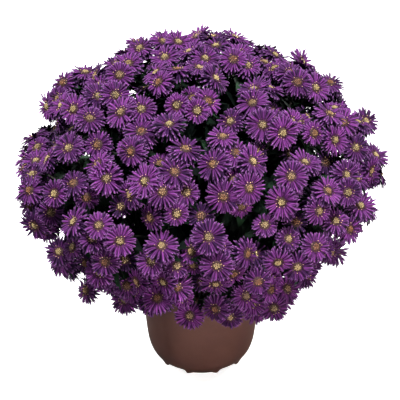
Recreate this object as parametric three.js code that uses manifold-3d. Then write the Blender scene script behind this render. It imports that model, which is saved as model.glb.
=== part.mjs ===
// A potted New York aster: a mound of violet daisies on leafy stems, in a brown nursery pot of soil.
// Millimetres, +Z up, the front towards -Y, the origin on the ground under the middle of the pot.
import * as THREE from 'three';
import { ConvexHull } from 'three/addons/math/ConvexHull.js';
import { mergeVertices } from 'three/addons/utils/BufferGeometryUtils.js';
import Module from 'manifold-3d';

const wasm = await Module();
wasm.setup();

// Pot
const POT_SIDES = 24;
const POT_HEIGHT = 115;
const RIM_RADIUS = 75;
const RIM_DROP = 12;
const WALL = 1.6;
const RIM_GAP = 3.2;
const FOOT_INNER = 42;
const FOOT_OUTER = 48.2;
const FOOT_HEIGHT = 4.7;
const SHOULDER_RADIUS = 57.9;
const SHOULDER_HEIGHT = 13;
const HIP_RADIUS = 62.4;
const HIP_HEIGHT = 32.5;
const WALL_TOP_RADIUS = 70.2;
const BASE_UNDER = 6;
const BASE_TOP = 9;
const FEET = 5;
const FOOT_GAP_ANGLE = 25;
const FRONT_FOOT_ANGLE = -88.5;
const DRAIN_RADIUS = 5;
const DRAIN_RING = 29;
const DRAIN_SIDES = 6;

// Soil
const SOIL_TOP = 101;
const CLEAR = 0.3;
const HOLE_DEPTH = 25;
const HOLE_ROOM = 0.6;
const WALL_ROOM = 0.45;

// Mound of blooms: a half ellipsoid down to its widest ring, then a straight skirt under it
const MOUND_RADIUS = 187;
const MOUND_DOME = 163;
const MOUND_WIDEST = 218;
const SKIRT_RADIUS = 138;
const SKIRT_HEIGHT = 135;
const OUTLINE_STEPS = 360;
const GOLDEN_ANGLE = Math.PI * (3 - Math.sqrt(5));
const SPIRAL_TURN = 0.01;
const LEAST_TURNING_RADIUS = 15;
// Swells of the mound: how many round it, how deep, and how they wax and wane with height
const SWELLS = [
  { count: 2, depth: 0.034, turn: -1.52, wind: 2.4, start: 0.5 },
  { count: 5, depth: 0.025, turn: 1.71, wind: 1.05, start: 0.5 },
];

// Blooms
const BLOOMS = 356;
const SEED = 49;
const BLOOM_RADIUS = 17.5;
const PETALS = 6;
const NOTCH = 0.55;
const DISC_RISE = 3;
const CUP_DEPTH = 6;
const CUP_RADIUS = 1.8;
// In bloom radii: how far away a neighbour, or a passing pedicel, can still meet the petals
const NEIGHBOUR_RANGE = 2.4;
const PASSING_RANGE = 1.3;
const SHORTENING = 0.1;
// How far a bloom strays from its turn on the spiral, along the mound and in and out of it
const SHIFT = 4;
const DEPTH_SPREAD = 8;
const DEPTH_BIAS = 0.4;
// A bloom faces the light: 32 degrees up on an upright side, more above and a little less below
const FACING_SIDE = 32;
const FACING_ABOVE = 0.645;
const FACING_BELOW = 0.35;
const FACING_SPREAD = 24;
const HEADING_SPREAD = 0.5;
const SIZE_LEAST = 0.86;
const SIZE_SPREAD = 0.22;

// Sprays and the leafy stems that carry them
const SPRAYS = 28;
const SETTLING_ROUNDS = 4;
const HEART_HEIGHT = 170;
const HUB_DROP_LOWEST = 58;
const HUB_DROP_HIGHEST = 70;
const HUB_RADIUS = 4;
const HUB_STRETCH = 2;
const HUB_FACET = 6.5;
const FORK_BELOW_HUB = 11;
const FORK_RADIUS = 2.4;
const STEM_RADIUS = 2.8;
const STEM_SIDES = 3;
const STEM_STEPS = 3;
const STEM_RISE = 2;
const STEM_PULL = 0.4;
const CLUMP_RADIUS = 54;

// Leaves
const LEAVES_PER_STEM = 3;
const LEAF_SEED = 77;
const LEAF_TRIES = 400;
const LEAF_LENGTH = 46;
const LEAF_WIDTH = 9;
const LEAF_THICKNESS = 1.4;
const LEAF_WIDEST = 0.3;
const LEAF_SUNK = 0.6;
const LEAF_ROOM = 1.5;
const LEAF_BLOOM_ROOM = 3;
const LEAF_POT_ROOM = 4;
const LEAF_RIM_RADIUS = 63;
const LEAF_LOWEST = 0.25;
const LEAF_SPAN = 0.7;
const LEAF_SIZE_LEAST = 0.75;
const LEAF_SIZE_SPREAD = 0.35;
const LEAF_LIFT_LEAST = 35;
const LEAF_LIFT_SPREAD = 40;

// Colours
const POT_BROWN = 0x523732;
const SOIL_BROWN = 0x2e2420;
const LEAF_GREEN = 0x3f5a3c;
const PETAL_VIOLET = 0x804d88;

const UP = new THREE.Vector3(0, 0, 1);
const { degToRad: radians, radToDeg: degrees, lerp } = THREE.MathUtils;

// Park and Miller's generator, so that the same blooms grow every time
function seededDraws(seed) {
  let state = seed;
  return () => {
    state = (state * 16807) % 2147483647;
    return state / 2147483647;
  };
}

function interpolate(x, xs, ys) {
  let i = 1;
  while (i < xs.length - 1 && xs[i] < x) i += 1;
  const share = (x - xs[i - 1]) / (xs[i] - xs[i - 1]);
  return ys[i - 1] + Math.min(Math.max(share, 0), 1) * (ys[i] - ys[i - 1]);
}

// Solids
function solidFrom(points, faces) {
  const mesh = new wasm.Mesh({
    numProp: 3,
    vertProperties: new Float32Array(points.flatMap((p) => [p.x, p.y, p.z])),
    triVerts: new Uint32Array(faces.flat()),
  });
  return new wasm.Manifold(mesh);
}

function solidOf(geometry) {
  const plain = geometry.clone();
  plain.deleteAttribute('normal');
  plain.deleteAttribute('uv');
  const merged = mergeVertices(plain, 1e-4);
  return new wasm.Manifold(new wasm.Mesh({
    numProp: 3,
    vertProperties: new Float32Array(merged.attributes.position.array),
    triVerts: new Uint32Array(merged.index.array),
  }));
}

function geometryFrom(points, faces) {
  const geometry = new THREE.BufferGeometry();
  geometry.setFromPoints(points);
  geometry.setIndex(faces.flat());
  geometry.computeVertexNormals();
  return geometry;
}

function geometryOf(solid) {
  const { vertProperties, triVerts } = solid.getMesh();
  const geometry = new THREE.BufferGeometry();
  geometry.setAttribute('position', new THREE.BufferAttribute(new Float32Array(vertProperties), 3));
  geometry.setIndex(new THREE.BufferAttribute(new Uint32Array(triVerts), 1));
  geometry.computeVertexNormals();
  return geometry;
}

function named(name, geometry, color, roughness) {
  const mesh = new THREE.Mesh(geometry, new THREE.MeshStandardMaterial({ color, roughness, metalness: 0 }));
  mesh.name = name;
  return mesh;
}

function twoDigits(index) {
  return String(index + 1).padStart(2, '0');
}

// Two directions square to a given one
function squareTo(direction) {
  const helper = Math.abs(direction.z) > 0.9 ? new THREE.Vector3(1, 0, 0) : UP;
  const first = new THREE.Vector3().crossVectors(helper, direction).normalize();
  const second = new THREE.Vector3().crossVectors(direction, first);
  return [first, second];
}

function ringOf(centre, direction, radius, sides, side = squareTo(direction)[0]) {
  const first = side.clone().addScaledVector(direction, -side.dot(direction)).normalize();
  const second = new THREE.Vector3().crossVectors(direction, first);
  const ring = [];
  for (let i = 0; i < sides; i += 1) {
    const turn = (2 * Math.PI * i) / sides;
    ring.push(centre.clone()
      .addScaledVector(first, radius * Math.cos(turn))
      .addScaledVector(second, radius * Math.sin(turn)));
  }
  return ring;
}

// A closed tube through rings of the same number of points
function tubeThrough(rings) {
  const sides = rings[0].length;
  const faces = [];
  for (let k = 0; k + 1 < rings.length; k += 1) {
    for (let i = 0; i < sides; i += 1) {
      const a = k * sides + i;
      const b = k * sides + ((i + 1) % sides);
      faces.push([a, b, b + sides], [a, b + sides, a + sides]);
    }
  }
  const last = (rings.length - 1) * sides;
  for (let i = 1; i + 1 < sides; i += 1) {
    faces.push([0, i + 1, i], [last, last + i, last + i + 1]);
  }
  return solidFrom(rings.flat(), faces);
}

// Mound
function moundOutline() {
  const table = { radius: [], height: [], lean: [], along: [0], area: [0] };
  const skirtLean = -Math.atan2(MOUND_RADIUS - SKIRT_RADIUS, MOUND_WIDEST - SKIRT_HEIGHT);
  for (let k = 0; k <= OUTLINE_STEPS; k += 1) {
    const part = (2 * k) / OUTLINE_STEPS;
    if (part <= 1) {
      const angle = (part * Math.PI) / 2;
      table.radius.push(MOUND_RADIUS * Math.sin(angle));
      table.height.push(MOUND_WIDEST + MOUND_DOME * Math.cos(angle));
      table.lean.push(Math.atan2(MOUND_RADIUS * Math.cos(angle), MOUND_DOME * Math.sin(angle)));
    } else {
      table.radius.push(MOUND_RADIUS + (part - 1) * (SKIRT_RADIUS - MOUND_RADIUS));
      table.height.push(MOUND_WIDEST + (part - 1) * (SKIRT_HEIGHT - MOUND_WIDEST));
      table.lean.push(skirtLean);
    }
    if (k > 0) {
      const step = Math.hypot(table.radius[k] - table.radius[k - 1], table.height[k] - table.height[k - 1]);
      table.along.push(table.along[k - 1] + step);
      table.area.push(table.area[k - 1] + step * Math.PI * (table.radius[k] + table.radius[k - 1]));
    }
  }
  return table;
}

const outline = moundOutline();

function swell(azimuth, lean) {
  let factor = 1;
  for (const { count, depth, turn, wind, start } of SWELLS) {
    factor += depth * Math.sin(count * azimuth + turn) * Math.sin((lean + Math.PI / 2) * wind + start);
  }
  return factor;
}

// A place on the mound, some millimetres along the outline from its turn on the golden spiral
function moundPlace(index, count, slide, turn, depth) {
  const whole = outline.area[OUTLINE_STEPS];
  const along = interpolate((whole * (index + 0.5)) / count, outline.area, outline.along) + slide;
  const radius = interpolate(along, outline.along, outline.radius);
  const height = interpolate(along, outline.along, outline.height);
  const lean = interpolate(along, outline.along, outline.lean);
  const azimuth = index * GOLDEN_ANGLE + SPIRAL_TURN + turn / Math.max(radius, LEAST_TURNING_RADIUS);
  const factor = swell(azimuth, lean);
  const reach = (radius + Math.cos(lean) * depth) * factor;
  const centre = new THREE.Vector3(
    reach * Math.cos(azimuth),
    reach * Math.sin(azimuth),
    MOUND_WIDEST + (height - MOUND_WIDEST) * factor + Math.sin(lean) * depth,
  );
  return { centre, azimuth, lean };
}

function placeBlooms() {
  const draw = seededDraws(SEED);
  const blooms = [];
  for (let k = 0; k < BLOOMS; k += 1) {
    const slide = SHIFT * (2 * draw() - 1);
    const turn = SHIFT * (2 * draw() - 1);
    const depth = DEPTH_SPREAD * (DEPTH_BIAS - draw());
    const place = moundPlace(k, BLOOMS, slide, turn, depth);
    const tilt = (place.lean > 0 ? FACING_ABOVE : FACING_BELOW) * degrees(place.lean);
    const facing = radians(FACING_SIDE + tilt + FACING_SPREAD * (draw() - 0.5));
    const heading = place.azimuth + HEADING_SPREAD * (draw() - 0.5);
    const normal = new THREE.Vector3(
      Math.cos(facing) * Math.cos(heading),
      Math.cos(facing) * Math.sin(heading),
      Math.sin(facing),
    );
    const radius = BLOOM_RADIUS * (SIZE_LEAST + SIZE_SPREAD * draw());
    blooms.push({ centre: place.centre, normal, radius, spin: 2 * Math.PI * draw() });
  }
  return blooms;
}

// Petals stop short of the planes half way to the neighbouring blooms
function outlinePetals(bloom, index, blooms) {
  const near = blooms.filter((other) => other !== bloom
    && other.centre.distanceTo(bloom.centre) < NEIGHBOUR_RANGE * BLOOM_RADIUS);
  const [first, second] = squareTo(bloom.normal);
  bloom.ring = [];
  for (let i = 0; i < 2 * PETALS; i += 1) {
    const turn = bloom.spin + (Math.PI * i) / PETALS;
    const way = first.clone().multiplyScalar(Math.cos(turn)).addScaledVector(second, Math.sin(turn));
    let reach = bloom.radius;
    for (const other of near) {
      const apart = other.centre.clone().sub(bloom.centre);
      const towards = way.dot(apart);
      if (towards > 0) reach = Math.min(reach, apart.lengthSq() / 2 / towards - CLEAR);
    }
    if (i % 2) reach *= NOTCH;
    bloom.ring.push(bloom.centre.clone().addScaledVector(way, reach));
  }
}

const blooms = placeBlooms();
blooms.forEach(outlinePetals);
const span = new THREE.Box3().setFromPoints(blooms.flatMap((bloom) => bloom.ring));
const centring = span.getCenter(new THREE.Vector3()).setZ(0);
for (const bloom of blooms) {
  bloom.centre.sub(centring);
  bloom.cup = bloom.centre.clone().addScaledVector(bloom.normal, -CUP_DEPTH);
  bloom.ring.forEach((point) => point.sub(centring));
}

// Each bloom belongs to the spray whose middle is nearest, and the middles then settle among their blooms
function shareBlooms(sprays) {
  sprays.forEach((spray) => { spray.blooms = []; });
  for (const bloom of blooms) {
    let best = sprays[0];
    for (const spray of sprays) {
      if (spray.middle.distanceTo(bloom.centre) < best.middle.distanceTo(bloom.centre)) best = spray;
    }
    best.blooms.push(bloom);
  }
}

function placeSprays() {
  const sprays = [];
  for (let k = 0; k < SPRAYS; k += 1) {
    const place = moundPlace(k, SPRAYS, 0, 0, 0);
    sprays.push({ middle: place.centre.sub(centring), blooms: [] });
  }
  for (let round = 0; round < SETTLING_ROUNDS; round += 1) {
    shareBlooms(sprays);
    for (const spray of sprays) {
      spray.middle.set(0, 0, 0);
      spray.blooms.forEach((bloom) => spray.middle.addScaledVector(bloom.centre, 1 / spray.blooms.length));
    }
  }
  shareBlooms(sprays);
  return sprays;
}

// Where a spray's pedicels meet, and where its stem takes over, on a line towards the clump's heart
function rootSpray(spray, index) {
  const heart = new THREE.Vector3(0, 0, HEART_HEIGHT);
  spray.axis = spray.middle.clone().sub(heart).normalize();
  const height = (spray.middle.z - SKIRT_HEIGHT) / (MOUND_WIDEST + MOUND_DOME - SKIRT_HEIGHT);
  const drop = lerp(HUB_DROP_LOWEST, HUB_DROP_HIGHEST, height);
  spray.hub = spray.middle.clone().addScaledVector(spray.axis, -drop);
  spray.fork = spray.hub.clone().addScaledVector(spray.axis, -FORK_BELOW_HUB);
  const azimuth = Math.atan2(spray.middle.y, spray.middle.x);
  spray.side = new THREE.Vector3(-Math.sin(azimuth), Math.cos(azimuth), 0);
  const reach = CLUMP_RADIUS * Math.sqrt((index + 0.5) / SPRAYS);
  spray.foot = new THREE.Vector3(reach * Math.cos(azimuth), reach * Math.sin(azimuth), SOIL_TOP);
}

const sprays = placeSprays();
sprays.forEach(rootSpray);

// Petals also stop short of the pedicels that pass them
function clearPedicels(bloom) {
  const passing = blooms.filter((other) => other !== bloom
    && other.pedicel.closestPointToPoint(bloom.centre, true, new THREE.Vector3())
      .distanceTo(bloom.centre) < PASSING_RANGE * BLOOM_RADIUS);
  for (const point of bloom.ring) {
    const petal = new THREE.Line3(bloom.centre, point);
    const meets = (other) => Math.sqrt(petal.distanceSqToLine3(other.pedicel)) < CUP_RADIUS + CLEAR;
    while (passing.some(meets)) point.lerp(bloom.centre, SHORTENING);
  }
}

for (const spray of sprays) {
  spray.blooms.forEach((bloom) => { bloom.pedicel = new THREE.Line3(spray.hub, bloom.cup); });
}
blooms.forEach(clearPedicels);

// The hub's facet that a pedicel grows from: three corners on a spindle, round the way to its bloom
function hubFacet(spray, bloom) {
  const way = bloom.cup.clone().sub(spray.hub);
  const squashed = way.clone().addScaledVector(spray.axis, way.dot(spray.axis) * (1 / HUB_STRETCH - 1));
  squashed.normalize();
  return ringOf(squashed, squashed, Math.tan(radians(HUB_FACET)), 3).map((corner) => {
    const onBall = corner.normalize().multiplyScalar(HUB_RADIUS);
    onBall.addScaledVector(spray.axis, onBall.dot(spray.axis) * (HUB_STRETCH - 1));
    return onBall.add(spray.hub);
  });
}

// A bloom: pointed petals in one star, domed by its disc, over a cup and a three-sided pedicel
function addBloom(points, faces, bloom, facet) {
  const petalAt = points.length;
  const count = bloom.ring.length;
  const discAt = petalAt + count;
  const cupAt = discAt + 1;
  const disc = bloom.centre.clone().addScaledVector(bloom.normal, DISC_RISE);
  const root = new THREE.Vector3();
  facet.forEach((corner) => root.addScaledVector(points[corner], 1 / 3));
  const away = bloom.cup.clone().sub(root).normalize();
  const cupRing = facet.map((corner) => {
    const spoke = points[corner].clone().sub(root);
    spoke.addScaledVector(away, -spoke.dot(away)).setLength(CUP_RADIUS);
    return bloom.cup.clone().add(spoke);
  });
  points.push(...bloom.ring, disc, ...cupRing);
  for (let i = 0; i < 3; i += 1) {
    const next = (i + 1) % 3;
    faces.push([facet[i], facet[next], cupAt + next], [facet[i], cupAt + next, cupAt + i]);
  }
  // Each petal point and notch joins the cup's corner on its own side
  const [first, second] = squareTo(bloom.normal);
  const turnOf = (point) => {
    const spoke = point.clone().sub(bloom.cup);
    return Math.atan2(spoke.dot(second), spoke.dot(first));
  };
  const cupTurns = cupRing.map(turnOf);
  const corners = bloom.ring.map((point) => {
    const gaps = cupTurns.map((turn) => Math.abs(Math.atan2(
      Math.sin(turn - turnOf(point)),
      Math.cos(turn - turnOf(point)),
    )));
    return gaps.indexOf(Math.min(...gaps));
  });
  for (let i = 0; i < count; i += 1) {
    const next = (i + 1) % count;
    faces.push([petalAt + i, petalAt + next, discAt]);
    faces.push([petalAt + next, petalAt + i, cupAt + corners[i]]);
    if (corners[i] !== corners[next]) {
      faces.push([petalAt + next, cupAt + corners[i], cupAt + corners[next]]);
    }
  }
}

function sprayMesh(spray, index) {
  const points = [
    ...ringOf(spray.fork, spray.axis, FORK_RADIUS, STEM_SIDES, spray.side),
    ...spray.blooms.flatMap((bloom) => hubFacet(spray, bloom)),
  ];
  const at = new Map(points.map((point, i) => [point, i]));
  const faces = [];
  for (const face of new ConvexHull().setFromPoints(points).faces) {
    const corners = [0, 1, 2].map((i) => at.get(face.getEdge(i).head().point));
    const owners = corners.map((corner) => Math.floor((corner - STEM_SIDES) / 3));
    const grown = owners[0] >= 0 && owners[0] === owners[1] && owners[0] === owners[2];
    if (grown) addBloom(points, faces, spray.blooms[owners[0]], corners);
    else faces.push(corners);
  }
  return named(`flower_spray_${twoDigits(index)}`, geometryFrom(points, faces), PETAL_VIOLET, 0.75);
}

// Stems
function stemCurve(spray) {
  const out = spray.foot.clone().setZ(SOIL_TOP + STEM_RISE);
  const end = spray.fork.clone().addScaledVector(spray.axis, -CLEAR);
  const pull = STEM_PULL * out.distanceTo(end);
  return new THREE.CubicBezierCurve3(
    out,
    out.clone().addScaledVector(UP, pull),
    end.clone().addScaledVector(spray.axis, -pull),
    end,
  );
}

function stemSolid(spray) {
  const bottom = spray.foot.clone().setZ(SOIL_TOP - HOLE_DEPTH + CLEAR);
  const rings = [ringOf(bottom, UP, STEM_RADIUS, STEM_SIDES, spray.side)];
  for (let k = 0; k <= STEM_STEPS; k += 1) {
    const part = k / STEM_STEPS;
    const radius = lerp(STEM_RADIUS, FORK_RADIUS, part);
    const direction = spray.curve.getTangent(part);
    rings.push(ringOf(spray.spine[k], direction, radius, STEM_SIDES, spray.side));
  }
  return tubeThrough(rings);
}

// Leaves
function leafCorners(spray, draw) {
  // Somewhere along the straight pieces of the stem
  const part = STEM_STEPS * (LEAF_LOWEST + LEAF_SPAN * draw());
  const [lower, upper] = spray.spine.slice(Math.floor(part), Math.floor(part) + 2);
  const start = lower.clone().lerp(upper, part % 1);
  const along = upper.clone().sub(lower).normalize();
  const [first, second] = squareTo(along);
  const turn = 2 * Math.PI * draw();
  const out = first.clone().multiplyScalar(Math.cos(turn)).addScaledVector(second, Math.sin(turn));
  const lift = radians(LEAF_LIFT_LEAST + LEAF_LIFT_SPREAD * draw());
  const way = along.clone().multiplyScalar(Math.cos(lift)).addScaledVector(out, Math.sin(lift));
  const across = new THREE.Vector3().crossVectors(along, out).normalize();
  const face = new THREE.Vector3().crossVectors(way, across);
  const length = LEAF_LENGTH * (LEAF_SIZE_LEAST + LEAF_SIZE_SPREAD * draw());
  const wide = start.clone().addScaledVector(way, LEAF_WIDEST * length);
  return {
    base: start.clone().addScaledVector(way, -LEAF_SUNK * STEM_RADIUS),
    left: wide.clone().addScaledVector(across, LEAF_WIDTH / 2),
    right: wide.clone().addScaledVector(across, -LEAF_WIDTH / 2),
    over: wide.clone().addScaledVector(face, LEAF_THICKNESS / 2),
    under: wide.clone().addScaledVector(face, -LEAF_THICKNESS / 2),
    clear: start.clone().addScaledVector(way, 2 * STEM_RADIUS),
    tip: start.clone().addScaledVector(way, length),
  };
}

function leafSolid({ base, left, right, over, under, tip }) {
  const faces = [[0, 2, 3], [0, 3, 1], [0, 4, 2], [0, 1, 4], [5, 3, 2], [5, 1, 3], [5, 2, 4], [5, 4, 1]];
  return solidFrom([base, left, right, over, under, tip], faces);
}

// A leaf is kept where it clears the pot, the soil, every bloom and every other stem, pedicel and leaf
function leafFits(leaf, ownStem, rods) {
  const middle = new THREE.Line3(leaf.clear, leaf.tip);
  const rib = [0, 0.25, 0.5, 0.75, 1].map((part) => middle.at(part, new THREE.Vector3()));
  for (const point of [...rib, leaf.left, leaf.right]) {
    const lowest = Math.hypot(point.x, point.y) > LEAF_RIM_RADIUS ? POT_HEIGHT : SOIL_TOP;
    if (point.z < lowest + LEAF_POT_ROOM) return false;
    for (const bloom of blooms) {
      const offset = point.clone().sub(bloom.centre);
      const rise = offset.dot(bloom.normal);
      if (rise > -CUP_DEPTH - LEAF_BLOOM_ROOM
        && rise < DISC_RISE + LEAF_BLOOM_ROOM
        && offset.length() < bloom.radius + LEAF_BLOOM_ROOM) return false;
    }
  }
  const edges = [middle, new THREE.Line3(leaf.left, leaf.tip), new THREE.Line3(leaf.right, leaf.tip)];
  return rods.every((rod) => rod.stem === ownStem
    || edges.every((edge) => Math.sqrt(edge.distanceSqToLine3(rod.line)) > rod.radius + LEAF_ROOM));
}

function growLeaves() {
  const draw = seededDraws(LEAF_SEED);
  const rods = [];
  sprays.forEach((spray, stem) => {
    const spots = [spray.foot, ...spray.spine];
    for (let i = 1; i < spots.length; i += 1) {
      rods.push({ line: new THREE.Line3(spots[i - 1], spots[i]), radius: STEM_RADIUS + 1, stem });
    }
    const spindle = spray.hub.clone().addScaledVector(spray.axis, HUB_RADIUS * HUB_STRETCH);
    rods.push({ line: new THREE.Line3(spray.fork, spindle), radius: HUB_RADIUS });
    for (const bloom of spray.blooms) {
      rods.push({ line: bloom.pedicel, radius: CUP_RADIUS });
    }
  });
  sprays.forEach((spray, stem) => {
    spray.leaves = [];
    for (let k = 0; k < LEAF_TRIES && spray.leaves.length < LEAVES_PER_STEM; k += 1) {
      const leaf = leafCorners(spray, draw);
      if (leafFits(leaf, stem, rods)) {
        spray.leaves.push(leaf);
        for (const edge of [[leaf.base, leaf.tip], [leaf.left, leaf.tip], [leaf.right, leaf.tip]]) {
          rods.push({ line: new THREE.Line3(...edge), radius: LEAF_THICKNESS });
        }
      }
    }
  });
}

for (const spray of sprays) {
  spray.curve = stemCurve(spray);
  spray.spine = spray.curve.getPoints(STEM_STEPS);
}
growLeaves();

function stemMesh(spray, index) {
  const solid = wasm.Manifold.union([stemSolid(spray), ...spray.leaves.map(leafSolid)]);
  return named(`leafy_stem_${twoDigits(index)}`, geometryOf(solid), LEAF_GREEN, 0.7);
}

// Pot and soil are turned about +Z
function lathe(profile) {
  const geometry = new THREE.LatheGeometry(profile.map(([r, z]) => new THREE.Vector2(r, z)), POT_SIDES);
  return solidOf(geometry.rotateX(Math.PI / 2));
}

const innerWall = {
  heights: [BASE_TOP, SHOULDER_HEIGHT + 1, HIP_HEIGHT + 1, POT_HEIGHT],
  radii: [FOOT_OUTER + 3, SHOULDER_RADIUS - WALL, HIP_RADIUS - WALL, WALL_TOP_RADIUS - WALL],
};

function footGap(angle) {
  const half = radians(FOOT_GAP_ANGLE / 2);
  const shape = new THREE.Shape();
  shape.absarc(0, 0, RIM_RADIUS, angle - half, angle + half, false);
  shape.absarc(0, 0, FOOT_INNER - 2, angle + half, angle - half, true);
  const depth = FOOT_HEIGHT + 1;
  const geometry = new THREE.ExtrudeGeometry(shape, { depth, bevelEnabled: false, curveSegments: 1 });
  return solidOf(geometry.translate(0, 0, -1));
}

function drainHole(angle) {
  const geometry = new THREE.CylinderGeometry(DRAIN_RADIUS, DRAIN_RADIUS, BASE_TOP, DRAIN_SIDES);
  geometry.rotateX(Math.PI / 2);
  return solidOf(geometry.translate(DRAIN_RING * Math.cos(angle), DRAIN_RING * Math.sin(angle), BASE_TOP));
}

function potMesh() {
  const { heights, radii } = innerWall;
  const body = lathe([
    [0, BASE_UNDER],
    [FOOT_INNER, BASE_UNDER],
    [FOOT_INNER, 0],
    [FOOT_OUTER, 0],
    [FOOT_OUTER + FOOT_HEIGHT, FOOT_HEIGHT],
    [SHOULDER_RADIUS, SHOULDER_HEIGHT],
    [HIP_RADIUS, HIP_HEIGHT],
    [WALL_TOP_RADIUS, POT_HEIGHT - WALL],
    [WALL_TOP_RADIUS + RIM_GAP, POT_HEIGHT - WALL],
    [WALL_TOP_RADIUS + RIM_GAP, POT_HEIGHT - RIM_DROP],
    [RIM_RADIUS, POT_HEIGHT - RIM_DROP],
    [RIM_RADIUS, POT_HEIGHT],
    ...heights.map((height, i) => [radii[i], height]).reverse(),
    [0, BASE_TOP],
  ]);
  const cuts = [];
  for (let i = 0; i < FEET; i += 1) {
    const foot = radians(FRONT_FOOT_ANGLE + (360 / FEET) * i);
    cuts.push(footGap(foot + Math.PI / FEET), drainHole(foot));
  }
  return named('pot', geometryOf(body.subtract(wasm.Manifold.union(cuts))), POT_BROWN, 0.55);
}

function soilMesh() {
  const { heights, radii } = innerWall;
  const rings = heights.slice(0, -1).map((height, i) => [radii[i] - WALL_ROOM, height + CLEAR]);
  const topRadius = interpolate(SOIL_TOP, heights, radii) - WALL_ROOM;
  const body = lathe([[0, BASE_TOP + CLEAR], ...rings, [topRadius, SOIL_TOP], [0, SOIL_TOP]]);
  const holes = sprays.map(({ foot, side }) => tubeThrough([-HOLE_DEPTH, 1].map((height) => ringOf(
    foot.clone().setZ(SOIL_TOP + height),
    UP,
    STEM_RADIUS + HOLE_ROOM,
    STEM_SIDES,
    side,
  ))));
  return named('soil', geometryOf(body.subtract(wasm.Manifold.union(holes))), SOIL_BROWN, 0.95);
}

const plant = new THREE.Group();
plant.add(potMesh(), soilMesh(), ...sprays.map(stemMesh), ...sprays.map(sprayMesh));

export default plant;
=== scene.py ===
"""A potted New York aster: a mound of violet daisies over dark leaves, in a brown nursery pot.

Lengths are in millimetres until a mesh is written, which turns them into metres. The lights and the floor
are given in metres. The pot, the soil, the stems and the sprays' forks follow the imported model's own
formulas, and so they stand where it has them. The heads start from its places and its draws. Then they
stray, gather in bunches, sink a little at the top, spread a little from side to side and turn to the light,
and some stand back.
"""

import math

import bpy
import numpy as np
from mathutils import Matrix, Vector


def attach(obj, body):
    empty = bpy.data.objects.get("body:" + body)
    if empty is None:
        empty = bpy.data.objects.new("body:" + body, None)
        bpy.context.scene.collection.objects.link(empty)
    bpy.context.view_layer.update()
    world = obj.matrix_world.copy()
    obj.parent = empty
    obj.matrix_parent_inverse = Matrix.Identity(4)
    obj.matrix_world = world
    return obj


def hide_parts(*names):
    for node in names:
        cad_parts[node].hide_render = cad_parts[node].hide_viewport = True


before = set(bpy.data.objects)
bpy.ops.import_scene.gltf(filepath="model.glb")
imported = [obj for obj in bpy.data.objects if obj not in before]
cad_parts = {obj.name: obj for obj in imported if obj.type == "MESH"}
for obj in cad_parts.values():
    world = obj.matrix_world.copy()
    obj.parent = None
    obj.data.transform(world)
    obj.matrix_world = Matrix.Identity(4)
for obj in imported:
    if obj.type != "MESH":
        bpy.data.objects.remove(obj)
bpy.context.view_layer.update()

MM = 0.001
TINY = 1e-6
FULL_TURN = 2 * math.pi
GOLDEN_ANGLE = math.pi * (3 - math.sqrt(5))
UP = np.array([0.0, 0.0, 1.0])
# The upright part from which a direction is too near to UP to be crossed with it
NEARLY_UP = 0.9
SHARP_ANGLE = math.radians(50)

# Pot
POT_SIDES = 132
POT_HEIGHT = 115
RIM_RADIUS = 75
RIM_DROP = 12
WALL = 1.6
RIM_GAP = 3.2
FOOT_INNER = 42
FOOT_OUTER = 48.2
FOOT_HEIGHT = 5.6
WALL_TOP_RADIUS = 70.2
# Radius and height of the two points that the wall's curve is drawn towards on its way up
WALL_LOW_PULL = (66, 15)
WALL_HIGH_PULL = (60.5, 32.5)
WALL_STEPS = 34
EDGE = 0.7
BASE_UNDER = 6
BASE_TOP = 9
FEET = 5
FOOT_GAP_ANGLE = math.radians(25)
FOOT_GAP_SLOPE = math.radians(1.5)
FOOT_PAD = 3.2
FOOT_PAD_ANGLE = math.radians(4.5)
FOOT_PAD_TOP = 1.2
FRONT_FOOT_ANGLE = math.radians(-88.5)
DRAIN_RADIUS = 5
DRAIN_RING = 29
DRAIN_SIDES = 24
DRILL_PAST = 2

# Soil
SOIL_TOP = 101
SOIL_DEPTH = 60
SOIL_RADIUS = 66.6
SOIL_TAPER = 7
SOIL_EDGE = 2
SOIL_SIDES = 96
# The rings of the soil's top, and the shares of its radius that the widest and the narrowest have
SOIL_RINGS = 40
SOIL_RING_SHARES = (0.995, 0.01)
SOIL_WAVES = 40
WAVE_RATES = (0.15, 1.6)
WAVE_EASE = 0.4
BUMPS = 1.1
CRUMBS = 420
CRUMB_SIZES = (0.6, 2.2)
CRUMB_PROFILE = np.array([0.4, 0.75, 0.35])
CRUMB_TILT = 0.5
CRUMB_MARGIN = 3
CRUMB_LIFT = 0.8
CRUMB_SIDES = 5

# Mound
MOUND_RADIUS = 187
MOUND_DOME = 163
MOUND_WIDEST = 218
SKIRT_RADIUS = 138
SKIRT_HEIGHT = 135
OUTLINE_STEPS = 360
SPIRAL_TURN = 0.01
LEAST_TURNING_RADIUS = 15
# How many swells go round the mound, how deep, how they turn, and how they wind with height
SWELLS = ((2, 0.034, -1.52, 2.4), (5, 0.025, 1.71, 1.05))
SWELL_START = 0.5

# Heads, as the model draws them
HEADS = 356
HEAD_SEED = 49
HEAD_DRAWS = 7
DRAW_FACTOR = 16807
DRAW_PRIME = 2147483647
HEAD_RADIUS = 17.5
STAR_POINTS = 12
STAR_NOTCH = 0.55
CLEAR = 0.3
CUP_DEPTH = 6
SHIFT = 4
DEPTH_SPREAD = 8
DEPTH_BIAS = 0.4
# How many degrees up a head faces at the widest ring, by what share of the mound's lean it faces farther up
# above the ring or down below it, and how it strays from that in degrees and from its azimuth in radians
FACING_SIDE = 32
FACING_ABOVE = 0.645
FACING_BELOW = 0.35
FACING_SPREAD = 24
HEADING_SPREAD = 0.5
SIZE_LEAST = 0.86
SIZE_SPREAD = 0.22
NEIGHBOUR_RANGE = 2.4

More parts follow.
